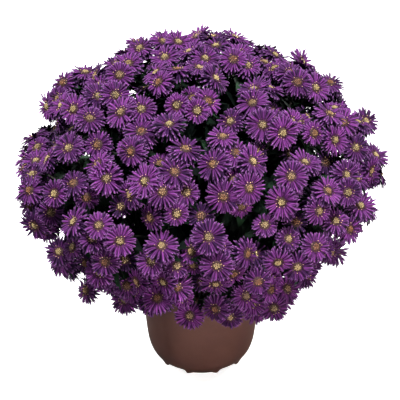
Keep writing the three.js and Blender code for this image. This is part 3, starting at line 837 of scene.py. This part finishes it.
def add_pedicels(greens, heads, hub, axis, leaf_count, rng):
    """Branches from the hub's spindle to each cup, the widest leaving lowest, with small leaves."""
    cup = heads.centre - heads.normal * (CUP_DEPTH + 1)
    way = unit(cup - hub)
    start = hub + axis * (SPINDLE_RISE * (way @ axis) - SPINDLE_DROP)[:, None]
    far = np.linalg.norm(cup - start, axis=-1)[:, None]
    start_pull = start + unit(way + axis * PEDICEL_LEAN) * far * START_PULL
    end_pull = cup - heads.normal * far * END_PULL
    path, direction = cubic_curve(start, start_pull, end_pull, cup, PEDICEL_STEPS)
    radius = np.broadcast_to(np.linspace(*PEDICEL_RADIUS, PEDICEL_STEPS), path.shape[:-1])
    stalks = tubes(path, direction, radius, PEDICEL_SIDES)
    add_tubes(greens, stalks, kind=STALK, tone=rng.uniform(*PEDICEL_TONES, len(cup)))
    place = np.linspace(*SMALL_LEAF_PLACES, leaf_count)
    root, along = on_path(path, direction, place * (PEDICEL_STEPS - 1))
    shape = root.shape[:2]
    turn = GOLDEN_ANGLE * np.arange(leaf_count) + rng.uniform(0, FULL_TURN, (shape[0], 1))
    lean = SMALL_LEAF_LEAN[0] - SMALL_LEAF_LEAN[1] * place
    length = rng.uniform(*SMALL_LEAF_LENGTHS, shape) * (SMALL_LEAF_LENGTH[0] - SMALL_LEAF_LENGTH[1] * place)
    width = length * rng.uniform(*SMALL_LEAF_WIDTHS, shape)
    leaves = leaves_on(SMALL_LEAF, root, along, turn, lean, length, width, SPRAY_LEAF_BEND, rng)
    # Leaves nearer the head take more of the green, and those deeper in the mound stay near black: partly
    # older leaves that darken, partly painted shade of the mound's inside.
    SMALL_LEAF.add(greens, leaves, tone=place * rng.uniform(0, 1, shape) ** 2)


def stem_path(foot, fork, axis):
    """The stem's line, as the model has it: up out of the soil and over into the spray's axis."""
    out = foot + UP * STEM_RISE
    end = fork - axis * CLEAR
    pull = STEM_PULL * np.linalg.norm(end - out)
    path, direction = cubic_curve(out, out + UP * pull, end - axis * pull, end, STEM_STEPS)
    bottom = foot - UP * (HOLE_DEPTH - CLEAR)
    return np.concatenate([bottom[None], path]), np.concatenate([UP[None], direction])


def add_leaves(shapes, blade, root, along, turn, size, rng):
    """Leaves round a stalk, apart from those that would reach into the soil or the pot's rim."""
    count, length, width = size
    lean = rng.uniform(*LEAF_LEANS, count)
    length = length * rng.uniform(*LEAF_LENGTHS, count)
    width = width * rng.uniform(*LEAF_WIDTHS, count)
    leaves = leaves_on(blade, root, along, turn, lean, length, width, STEM_LEAF_BEND, rng)
    over_rim = np.hypot(leaves[..., 0], leaves[..., 1]) > RIM_RADIUS - RIM_MARGIN
    lowest = np.where(over_rim, POT_HEIGHT, SOIL_TOP) + LEAF_CLEARANCE
    leaves = leaves[(leaves[..., 2] > lowest).all((1, 2))]
    blade.add(shapes, leaves, tone=LEAF_TONE * rng.uniform(0, 1, len(leaves)) ** 2)


def add_stem(shapes, foot, fork, hub, axis, rng):
    """The stem, a stalk from its fork through the hub, leaves along it and broader ones round the hub."""
    path, direction = stem_path(foot, fork, axis)
    stem = tubes(path, direction, np.linspace(STEM_RADIUS, FORK_RADIUS, len(path)), STEM_SIDES)
    add_tubes(shapes, stem, kind=STALK, tone=STALK_TONE)
    stalk = hub + axis * STALK_ABOVE_HUB - fork
    rings = fork + stalk * np.linspace(STALK_START, 1, STALK_RINGS)[:, None]
    radius = np.linspace(FORK_RADIUS, STALK_TIP_RADIUS, STALK_RINGS)
    add_tubes(shapes, straight_tubes(rings, axis, radius, STEM_SIDES), kind=STALK, tone=STALK_TONE)
    count = STEM_LEAVES[0]
    place = 1 + np.linspace(STEM_LEAF_ENDS[0], STEM_STEPS - STEM_LEAF_ENDS[1], count)
    turn = GOLDEN_ANGLE * np.arange(count) + rng.uniform(0, FULL_TURN)
    add_leaves(shapes, LEAF, *on_path(path, direction, place), turn, STEM_LEAVES, rng)
    count = HUB_LEAVES[0]
    root = fork + stalk * np.linspace(0, HUB_LEAVES_END, count)[:, None]
    turn = GOLDEN_ANGLE * np.arange(count)
    add_leaves(shapes, SMALL_LEAF, root, np.broadcast_to(axis, root.shape), turn, HUB_LEAVES, rng)


# Pot and soil
def arc(centre, radius, start, end, steps):
    """Points on a circle from one angle to another, in degrees."""
    angle = np.radians(np.linspace(start, end, steps))
    return np.stack([centre[0] + radius * np.cos(angle), centre[1] + radius * np.sin(angle)], -1)


def pot_profile():
    """The pot's outline, as radii and heights: from under its base, round the foot, up the wall, over the
    rim and down inside to the base."""
    wall_top = POT_HEIGHT - WALL - EDGE
    ends = [(FOOT_OUTER, EDGE), WALL_LOW_PULL, WALL_HIGH_PULL, (WALL_TOP_RADIUS, wall_top)]
    wall, way = cubic_curve(*[np.array([*p, 0]) for p in ends], WALL_STEPS)
    inner = wall[:, :2] + WALL * np.stack([-way[:, 1], way[:, 0]], -1)
    inner = inner[(inner[:, 1] > BASE_TOP + EDGE) & (inner[:, 1] < POT_HEIGHT - 2 * EDGE)]
    skirt = WALL_TOP_RADIUS + RIM_GAP
    rim_bottom = POT_HEIGHT - RIM_DROP
    rim_middle = (rim_bottom + POT_HEIGHT) / 2
    return np.concatenate([
        [(FOOT_INNER - EDGE, BASE_UNDER)],
        [(FOOT_INNER, BASE_UNDER - EDGE)],
        arc((FOOT_INNER + EDGE, EDGE), EDGE, 180, 270, 4),
        arc((FOOT_OUTER - EDGE, EDGE), EDGE, 270, 330, 3),
        wall[:, :2],
        arc((WALL_TOP_RADIUS + EDGE, wall_top), EDGE, 160, 90, 3),
        arc((skirt - EDGE, wall_top), EDGE, 90, 0, 3),
        [(skirt, rim_middle)],
        arc((skirt + WALL / 2, rim_bottom + WALL / 2), WALL / 2, 180, 360, 7),
        [(RIM_RADIUS, rim_middle)],
        arc((RIM_RADIUS - 2 * EDGE, POT_HEIGHT - 2 * EDGE), 2 * EDGE, 0, 90, 6),
        arc((WALL_TOP_RADIUS - WALL + EDGE, POT_HEIGHT - EDGE), EDGE, 90, 170, 4),
        inner[::-1],
        [(inner[0, 0] - 3 * EDGE, BASE_TOP)],
    ])


def pot_shapes():
    """The outline turned round +Z. The foot ring is lifted where it has its gaps, and each foot swells
    outwards at its two ends, by a bell curve of the angle from there that fades with height."""
    radius, height = pot_profile().T
    turn = even_turns(POT_SIDES)
    middles = FRONT_FOOT_ANGLE + even_turns(FEET, 0.5)
    off = np.abs((turn[:, None] - middles + math.pi) % FULL_TURN - math.pi).min(1)
    open_here = np.clip((FOOT_GAP_ANGLE / 2 - off) / FOOT_GAP_SLOPE + 0.5, 0, 1)
    lift = np.maximum(FOOT_HEIGHT - height[:, None], 0) * open_here
    bell = np.exp(-(((off - FOOT_GAP_ANGLE / 2) / FOOT_PAD_ANGLE - 1) ** 2))
    outside = radius > (FOOT_INNER + FOOT_OUTER) / 2
    low = np.clip(FOOT_PAD_TOP - height / FOOT_HEIGHT, 0, 1) * outside
    reach = radius[:, None] + FOOT_PAD * low[:, None] * bell * (1 - open_here)
    shapes = Shapes()
    shapes.add(polar(reach, turn, height[:, None] + lift), ring_faces(len(radius), POT_SIDES))
    return shapes


def pierce_base(pot):
    """Cuts the round drain holes, one behind each foot."""
    middle = polar(DRAIN_RING, FRONT_FOOT_ANGLE + even_turns(FEET), 0)
    path = middle[:, None] + UP * np.array([[BASE_UNDER - DRILL_PAST], [BASE_TOP + DRILL_PAST]])
    drills = Shapes()
    add_tubes(drills, straight_tubes(path, UP, DRAIN_RADIUS, DRAIN_SIDES))
    drill = new_object("drill", drills.mesh("drill", []))
    cut = pot.modifiers.new("drain holes", "BOOLEAN")
    cut.operation = "DIFFERENCE"
    cut.solver = "EXACT"
    cut.object = drill
    seen = pot.evaluated_get(bpy.context.evaluated_depsgraph_get())
    pierced = bpy.data.meshes.new_from_object(seen)
    pot.modifiers.clear()
    pot.data = pierced
    bpy.data.objects.remove(drill)


def rough(points, waves, rng):
    """A bumpy height over the ground: a sum of sine waves of random direction and length, where the long
    ones swing most."""
    turn = rng.uniform(0, FULL_TURN, waves)
    rate = rng.uniform(*WAVE_RATES, waves)
    start = rng.uniform(0, FULL_TURN, waves)
    across = points[..., :1] * np.cos(turn) + points[..., 1:2] * np.sin(turn)
    return (np.sin(across * rate + start) / (WAVE_EASE + rate)).sum(-1) / math.sqrt(waves)


def soil_shapes(rng):
    """Potting soil: a tapered plug with a bumpy top, and crumbs of bark and peat lying on it."""
    shapes = Shapes()
    top = SOIL_RADIUS * np.linspace(*SOIL_RING_SHARES, SOIL_RINGS)
    radius = np.concatenate([[SOIL_RADIUS - SOIL_TAPER, SOIL_RADIUS], top])
    height = np.full(len(radius), float(SOIL_TOP))
    height[:2] = [SOIL_TOP - SOIL_DEPTH, SOIL_TOP - SOIL_EDGE]
    ground = polar(radius[:, None], even_turns(SOIL_SIDES), height[:, None])
    ground[2:, :, 2] += BUMPS * rough(ground, SOIL_WAVES, rng)[2:]
    shapes.add(ground, ring_faces(len(radius), SOIL_SIDES))
    reach = (SOIL_RADIUS - CRUMB_MARGIN) * np.sqrt(rng.uniform(0, 1, CRUMBS))
    middle = polar(reach, rng.uniform(0, FULL_TURN, CRUMBS), SOIL_TOP + CRUMB_LIFT)
    way = unit(rng.normal(size=(CRUMBS, 3)) * [1, 1, CRUMB_TILT])
    size = rng.uniform(*CRUMB_SIZES, CRUMBS)[:, None]
    path = middle[:, None] + way[:, None] * size[..., None] * np.array([[-1.0], [0.0], [1.0]])
    crumbs = straight_tubes(path, way[:, None], size * CRUMB_PROFILE, CRUMB_SIDES)
    add_tubes(shapes, crumbs, tone=rng.uniform(0, 1, CRUMBS))
    return shapes


# Finishes
# On a blade: where its root's colour ends and its tip's starts, how far its tone and painted shade go, how
# light it is between its veins, how fine its mottles are, and how the colour of its underside sets in
ROOT_END = 0.36
TIP_START = 0.72
TONE_SHARE = 0.9
LIGHTEST = 1.25
BLADE_MOTTLES = 160.0
UNDER_START = (0.05, 0.6)
# On pot, soil and stalks: the detail and roughness of the patches and their edges, then how much finer the
# specks are, their detail and roughness, from which height of the noise they show, how much more of them a
# greater share shows, and how soft their edge is
PATCH_NOISE = (4.0, 0.6)
PATCH_EDGES = (0.35, 0.65)
SPECKS_FINER = 9.0
SPECK_NOISE = (2.0, 0.5)
SPECK_START = 0.8
SPECK_GAIN = 0.5
SPECK_EDGE = 0.06
# On a disc: the ages at which it ripens, how its florets pale towards their tips and by their own tone, and
# which values of `across` part the button from the bed and the bed from the ring
RIPENING = (0.3, 0.85)
BUTTON_PALES = (0.1, 1.0)
BUTTON_TONES = (-0.8, 0.8)
RING_PALES = (0.6, 1.0)
RING_TONES = (0.55, 0.8)
BUTTON_TO_BED = (0.2, 0.45)
BED_TO_RING = (0.55, 0.95)


def paint(red, green, blue):
    """A colour as seen on a screen, from 0 to 255, as the light that it gives back."""
    seen = np.array([red, green, blue]) / 255
    return (*np.where(seen < 0.04045, seen / 12.92, ((seen + 0.055) / 1.055) ** 2.4), 1.0)


class Nodes:
    """Short ways to add nodes to a material or a node group."""

    def __init__(self, tree):
        self.tree = tree

    def add(self, kind, inputs=(), **settings):
        """A node with its settings, and with its inputs as values or from other nodes."""
        node = self.tree.nodes.new("ShaderNode" + kind)
        for name, value in settings.items():
            setattr(node, name, value)
        for name, value in dict(inputs).items():
            self.put(value, node.inputs[name])
        return node

    def put(self, value, socket):
        """Links another node's output to a socket, or sets the socket's own value."""
        if isinstance(value, bpy.types.NodeSocket):
            self.tree.links.new(value, socket)
        else:
            socket.default_value = value

    def maths(self, operation, first, second=0.0, third=0.0):
        """One step of arithmetic."""
        return self.add("Math", {0: first, 1: second, 2: third}, operation=operation).outputs[0]

    def step(self, value, low, high, least=0.0, most=1.0):
        """Goes smoothly from least to most as value goes from low to high: a cubic with level ends."""
        inputs = {"Value": value, "From Min": low, "From Max": high, "To Min": least, "To Max": most}
        return self.add("MapRange", inputs, interpolation_type="SMOOTHSTEP").outputs[0]

    def blend(self, share, first, second):
        """Goes from the first colour to the second as share goes from 0 to 1."""
        return self.add("Mix", {0: share, 6: first, 7: second}, data_type="RGBA").outputs[2]

    def noise(self, scale, detail=3.0, rough_share=0.55):
        """Soft noise in the object's own space, at so many waves in a metre."""
        where = self.add("TexCoord").outputs["Object"]
        inputs = {"Vector": where, "Scale": scale, "Detail": detail, "Roughness": rough_share}
        return self.add("TexNoise", inputs).outputs["Fac"]

    def kept(self, name):
        """A value that the piece's mesh keeps at its points."""
        return self.add("Attribute", attribute_name=name).outputs["Fac"]

    def bump(self, height, strength, distance):
        """Relief in the light alone, by a height and the distance that it stands for."""
        inputs = {"Height": height, "Strength": strength, "Distance": distance}
        return self.add("Bump", inputs).outputs["Normal"]


def node_group(name, takes):
    """An empty node group with named inputs, which puts out a colour and the height of its relief."""
    group = bpy.data.node_groups.new(name, "ShaderNodeTree")
    for direction, sockets in (("INPUT", takes), ("OUTPUT", [("Color", "Color"), ("Height", "Float")])):
        for socket, kind in sockets:
            group.interface.new_socket(socket, in_out=direction, socket_type="NodeSocket" + kind)
    given = group.nodes.new("NodeGroupInput").outputs
    return group, Nodes(group), given, group.nodes.new("NodeGroupOutput").inputs


def blade_group():
    """Colour and relief of a ray or leaf: root to tip, lengthwise veins, its underside and its tone, with
    painted shade.

    The veins are waves of a cosine across the blade. The colour darkens between them, by the square of the
    way to the edge as painted shade between neighbouring blades, and in fine mottles."""
    colours = [(name, "Color") for name in ("Root", "Middle", "Tip", "Under", "Other")]
    numbers = [(name, "Float") for name in ("Veins", "Vein Depth", "Painted Edge Shade", "Shade")]
    group, nodes, given, gives = node_group("blade", colours + numbers)
    along, across, under, tone = (nodes.kept(name) for name in ("along", "across", "under", "tone"))
    colour = nodes.blend(nodes.maths("MULTIPLY", tone, TONE_SHARE), given["Middle"], given["Other"])
    colour = nodes.blend(nodes.step(along, 0.0, ROOT_END), given["Root"], colour)
    colour = nodes.blend(nodes.step(along, TIP_START, 1.0), colour, given["Tip"])
    wave = nodes.maths("MULTIPLY", across, nodes.maths("MULTIPLY", given["Veins"], FULL_TURN))
    height = nodes.maths("MULTIPLY_ADD", nodes.maths("COSINE", wave), 0.5, 0.5)
    vein_and_edge_shade = nodes.maths("MULTIPLY", nodes.maths("SUBTRACT", 1.0, height), given["Vein Depth"])
    # Painted shade: the colour darkens towards the blade's edges, where neighbouring blades overlap and
    # shade each other.
    edge = nodes.maths("POWER", nodes.maths("ABSOLUTE", nodes.maths("MULTIPLY_ADD", across, 2.0, -1.0)), 2.0)
    vein_and_edge_shade = nodes.maths("MULTIPLY_ADD", edge, given["Painted Edge Shade"], vein_and_edge_shade)
    mottle = nodes.maths("MULTIPLY", nodes.noise(BLADE_MOTTLES), given["Shade"])
    dark = nodes.maths("SUBTRACT", nodes.maths("SUBTRACT", LIGHTEST, vein_and_edge_shade), mottle)
    shaded = nodes.add("VectorMath", {0: colour, "Scale": dark}, operation="SCALE").outputs[0]
    nodes.put(nodes.blend(nodes.step(under, *UNDER_START), shaded, given["Under"]), gives["Color"])
    nodes.put(height, gives["Height"])
    return group


def mottle_group():
    """Two colours in soft patches, with finer specks of a third, and relief that goes with them."""
    colours = [(name, "Color") for name in ("First", "Second", "Specks")]
    numbers = [(name, "Float") for name in ("Scale", "Speck Share")]
    group, nodes, given, gives = node_group("mottle", colours + numbers)
    patches = nodes.step(nodes.noise(given["Scale"], *PATCH_NOISE), *PATCH_EDGES)
    colour = nodes.blend(patches, given["First"], given["Second"])
    fine = nodes.noise(nodes.maths("MULTIPLY", given["Scale"], SPECKS_FINER), *SPECK_NOISE)
    gain = nodes.maths("MULTIPLY", given["Speck Share"], SPECK_GAIN)
    edge = nodes.maths("SUBTRACT", SPECK_START, gain)
    specks = nodes.step(fine, edge, nodes.maths("ADD", edge, SPECK_EDGE))
    nodes.put(nodes.blend(specks, colour, given["Specks"]), gives["Color"])
    nodes.put(nodes.maths("MULTIPLY_ADD", patches, 0.5, fine), gives["Height"])
    return group


def new_material(name, roughness, specular=0.5):
    """A material, the ways to add nodes to it, and the inputs of its surface."""
    material = bpy.data.materials.new(name)
    material.use_nodes = True
    surface = material.node_tree.nodes["Principled BSDF"].inputs
    surface["Roughness"].default_value = roughness
    surface["Specular IOR Level"].default_value = specular
    return material, Nodes(material.node_tree), surface


def finish(name, group, inputs, bump, *gloss):
    """A material whose colour and relief come from a node group. The bump has a strength and a distance,
    and the gloss a roughness and how much it shines."""
    material, nodes, surface = new_material(name, *gloss)
    given = material.node_tree.nodes.new("ShaderNodeGroup")
    given.node_tree = group
    for socket, value in inputs.items():
        nodes.put(value, given.inputs[socket])
    nodes.put(given.outputs["Color"], surface["Base Color"])
    nodes.put(nodes.bump(given.outputs["Height"], *bump), surface["Normal"])
    return material


def disc_finish():
    """Florets: a pale yellow button when young, red-brown later, and a ring of dark tubes with pale tips."""
    material, nodes, surface = new_material("disc florets", 0.75)
    age, tone, along, across = (nodes.kept(name) for name in ("age", "tone", "along", "across"))
    ripe = nodes.step(age, *RIPENING)
    body = nodes.blend(ripe, paint(128, 100, 60), paint(88, 50, 36))
    tips = nodes.blend(ripe, paint(200, 180, 128), paint(160, 112, 76))
    lit = nodes.maths("MULTIPLY", nodes.step(along, *BUTTON_PALES), nodes.step(tone, *BUTTON_TONES))
    button = nodes.blend(lit, body, tips)
    pale = nodes.maths("MULTIPLY", nodes.step(along, *RING_PALES), nodes.step(tone, *RING_TONES))
    ring = nodes.blend(pale, paint(66, 24, 26), paint(210, 172, 134))
    # The bed between the florets is dark red-brown: partly its own colour, partly painted shade between
    # them.
    colour = nodes.blend(nodes.step(across, *BUTTON_TO_BED), button, paint(54, 26, 24))
    nodes.put(nodes.blend(nodes.step(across, *BED_TO_RING), colour, ring), surface["Base Color"])
    return material


def make_finishes():
    """Each finish by its name."""
    blade, mottle = blade_group(), mottle_group()
    return {
        # On the rays, the darker Root is painted shade near the disc under the inner rows, the paler Tip is
        # a painted highlight where the tips catch the light, and the near-black Other is what a head's own
        # tone and the rows' painted shade go towards.
        "rays": finish("violet rays", blade, {
            "Root": paint(78, 30, 84), "Middle": paint(120, 53, 130), "Tip": paint(137, 84, 150),
            "Under": paint(84, 46, 98), "Other": paint(28, 9, 46), "Veins": 3.0, "Vein Depth": 0.18,
            "Painted Edge Shade": 0.92, "Shade": 0.42,
        }, (0.35, 0.0003), 0.66, 0.12),
        "discs": disc_finish(),
        # On the leaves, Root, Middle, Tip and Under are near black: their own dark green with painted shade
        # of the mound's inside. Other is their green, which tone lifts them towards.
        "leaves": finish("aster leaves", blade, {
            "Root": paint(11, 17, 13), "Middle": paint(9, 15, 14), "Tip": paint(15, 22, 17),
            "Under": paint(16, 22, 21), "Other": paint(48, 80, 54), "Veins": 1.0, "Vein Depth": 0.12,
            "Painted Edge Shade": 0.1, "Shade": 0.5,
        }, (0.4, 0.0005), 0.55, 0.06),
        "stalks": finish("green stalks", mottle, {
            "First": paint(26, 36, 24), "Second": paint(36, 31, 25), "Specks": paint(56, 54, 38),
            "Scale": 60.0, "Speck Share": 0.3,
        }, (0.3, 0.0003), 0.6),
        "pot": finish("brown nursery pot", mottle, {
            "First": paint(102, 67, 58), "Second": paint(95, 61, 53), "Specks": paint(72, 46, 41),
            "Scale": 38.0, "Speck Share": 0.12,
        }, (0.12, 0.0002), 0.42, 0.45),
        "soil": finish("potting soil", mottle, {
            "First": paint(52, 40, 32), "Second": paint(36, 28, 23), "Specks": paint(98, 78, 58),
            "Scale": 90.0, "Speck Share": 0.5,
        }, (0.8, 0.001), 0.95),
    }


# Stage
WHITE = (1, 1, 1, 1)
COOL = (0.86, 0.89, 1)
WARM = (1, 0.93, 0.87)
# How much light the walls of the studio throw and in what colour, and how pale they look
SKY_LIGHT = 0.015
SKY_SHADE = (0.72, 0.72, 1, 1)
SKY_SEEN = 0.95
# What the floor gives back and how pale it looks, how far from the pot it starts and stops to grow paler, in
# metres, and how it glows there
FLOOR_SHADE = (0.15, 0.15, 0.15, 1)
FLOOR_SEEN = (0.92, 0.92, 0.92, 1)
FLOOR_REACH = (0.4, 2.2)
FLOOR_GLOW = (0.74, 0.95)
FLOOR_HALF = 9
# The camera looks down by an elevation from a distance to a pivot on the axis, and aims at its target
CAMERA_ELEVATION = math.radians(28)
CAMERA_DISTANCE = 1570
CAMERA_PIVOT = 211
CAMERA_TARGET = (-1.4, 0, 198.5)
LENS = 128.4
SENSOR = 36


def look(thing, place, target):
    """Stands a camera or light at a place and turns it to its target, both in metres."""
    thing.location = place
    thing.rotation_euler = Vector(np.subtract(target, place)).to_track_quat("-Z", "Y").to_euler()


def make_camera():
    """The photograph's view: from the front, a long way off and from above."""
    camera = new_object("camera", bpy.data.cameras.new("camera"))
    camera.data.lens = LENS
    camera.data.sensor_width = SENSOR
    eye = CAMERA_DISTANCE * outwards(-math.pi / 2, CAMERA_ELEVATION) + CAMERA_PIVOT * UP
    look(camera, eye * MM, np.array(CAMERA_TARGET) * MM)
    bpy.context.scene.camera = camera


def soft_light(name, place, target, size, power, colour=WHITE[:3], spread=180):
    """A square softbox at place, in metres, turned to its target, with the spread of its beam in degrees."""
    light = new_object(name, bpy.data.lights.new(name, "AREA"))
    light.data.shape = "SQUARE"
    light.data.size = size
    light.data.energy = power
    light.data.color = colour
    light.data.spread = math.radians(spread)
    look(light, place, target)


def floor_finish():
    """Pale card, which throws little light back up, so that the plant keeps the shade under its heads. It
    grows paler away from the pot, until it meets the walls without a line."""
    material, nodes, surface = new_material("pale floor", 0.95, 0.0)
    seen = nodes.add("LightPath").outputs["Is Camera Ray"]
    nodes.put(nodes.blend(seen, FLOOR_SHADE, FLOOR_SEEN), surface["Base Color"])
    where = nodes.add("TexCoord").outputs["Object"]
    away = nodes.add("VectorMath", {0: where}, operation="LENGTH").outputs["Value"]
    glow = nodes.step(away, *FLOOR_REACH, *FLOOR_GLOW)
    nodes.put(nodes.maths("MULTIPLY", seen, glow), surface["Emission Strength"])
    surface["Emission Color"].default_value = WHITE
    return material


def make_stage():
    """Dim bluish walls that look pale, a pale floor, and soft lights above, in front and behind."""
    world = bpy.data.worlds.new("studio")
    world.use_nodes = True
    nodes = Nodes(world.node_tree)
    seen = nodes.add("LightPath").outputs["Is Camera Ray"]
    sky = world.node_tree.nodes["Background"].inputs
    nodes.put(nodes.blend(seen, SKY_SHADE, WHITE), sky["Color"])
    nodes.put(nodes.step(seen, 0, 1, SKY_LIGHT, SKY_SEEN), sky["Strength"])
    bpy.context.scene.world = world
    bpy.context.scene.view_settings.view_transform = "Standard"
    floor = new_object("floor", bpy.data.meshes.new("floor"))
    corners = FLOOR_HALF * np.array([(-1, -1, 0), (1, -1, 0), (1, 1, 0), (-1, 1, 0)])
    floor.data.from_pydata(corners, [], [(0, 1, 2, 3)])
    floor.data.materials.append(floor_finish())
    soft_light("overhead", (0.1, -0.98, 2.28), (0, 0, 0.2), 0.25, 92)
    soft_light("front fill", (-1.3, -2.2, 0.9), (0, 0, 0.15), 0.6, 4.5, COOL)
    soft_light("low light", (0.55, -1.6, 0.8), (0, -0.12, 0.2), 0.3, 0.3, WARM, 19)
    soft_light("pot light", (0.5, -0.95, 0.16), (0, 0, 0.06), 0.5, 4.1, WARM)
    soft_light("back light left", (-1.6, 1.0, 1.2), (0, 0, 0.2), 0.6, 46)
    soft_light("back light right", (1.5, 1.2, 1.2), (0, 0, 0.2), 0.6, 42)


# Scene
def add_spray(number, hub, axis, layers, finishes, rng):
    """The rays, discs and stalks of one spray. Each of its layers gives the spray's heads in it, all the
    heads that may crowd them, and what each has."""
    rays, discs, greens = Shapes(), Shapes(), Shapes()
    for heads, others, has in layers:
        add_heads(rays, discs, greens, heads, others, has, rng)
    for heads, _, has in layers:
        add_pedicels(greens, heads, hub, axis, has["leaves"], rng)
    node = "flower_spray_" + number
    add_piece("rays_" + number, rays, [finishes["rays"]], node)
    add_piece("discs_" + number, discs, [finishes["discs"]], node)
    add_piece("stalks_" + number, greens, [finishes["leaves"], finishes["stalks"]], node)


def add_plant(finishes, rng):
    """The heads are laid out as the model has them and depart from it, and the ring of low ones and the deep
    ones join them. Then each spray and its stem are made."""
    mound = Mound()
    heads = lay_out_heads(mound, HEADS, HEAD_SEED)
    middle = centring(heads)
    heads.centre = heads.centre - middle
    sprays = Sprays(mound, heads, middle)
    heads = strayed(heads, FACING_STRAY, CENTRE_STRAY, rng)
    gather(heads, rng)
    hold_back(heads, sprays.hub[sprays.owner], rng)
    low = low_heads(rng)
    owner = np.concatenate([sprays.owner, sprays.nearest(sprays.middle, low)])
    heads = joined(heads, low)
    turn_to_light(heads)
    deep = deep_heads(mound, middle, heads, rng)
    deep_owner = sprays.nearest(sprays.middle, deep)
    for index, (hub, fork, axis, foot) in enumerate(zip(sprays.hub, sprays.fork, sprays.axis, sprays.foot)):
        number = f"{index + 1:02d}"
        layers = ((heads.some(owner == index), heads, OUTER), (deep.some(deep_owner == index), deep, DEEP))
        add_spray(number, hub, axis, layers, finishes, rng)
        stem = Shapes()
        add_stem(stem, foot, fork, hub, axis, rng)
        greenery = [finishes["leaves"], finishes["stalks"]]
        add_piece("stem_" + number, stem, greenery, "leafy_stem_" + number)


def main():
    """The plant, its pot and its soil on their stage."""
    finishes = make_finishes()
    rng = np.random.default_rng(LOOKS_SEED)
    add_plant(finishes, rng)
    pierce_base(add_piece("nursery_pot", pot_shapes(), [finishes["pot"]], "pot"))
    add_piece("potting_soil", soil_shapes(rng), [finishes["soil"]], "soil")
    make_camera()
    make_stage()


main()
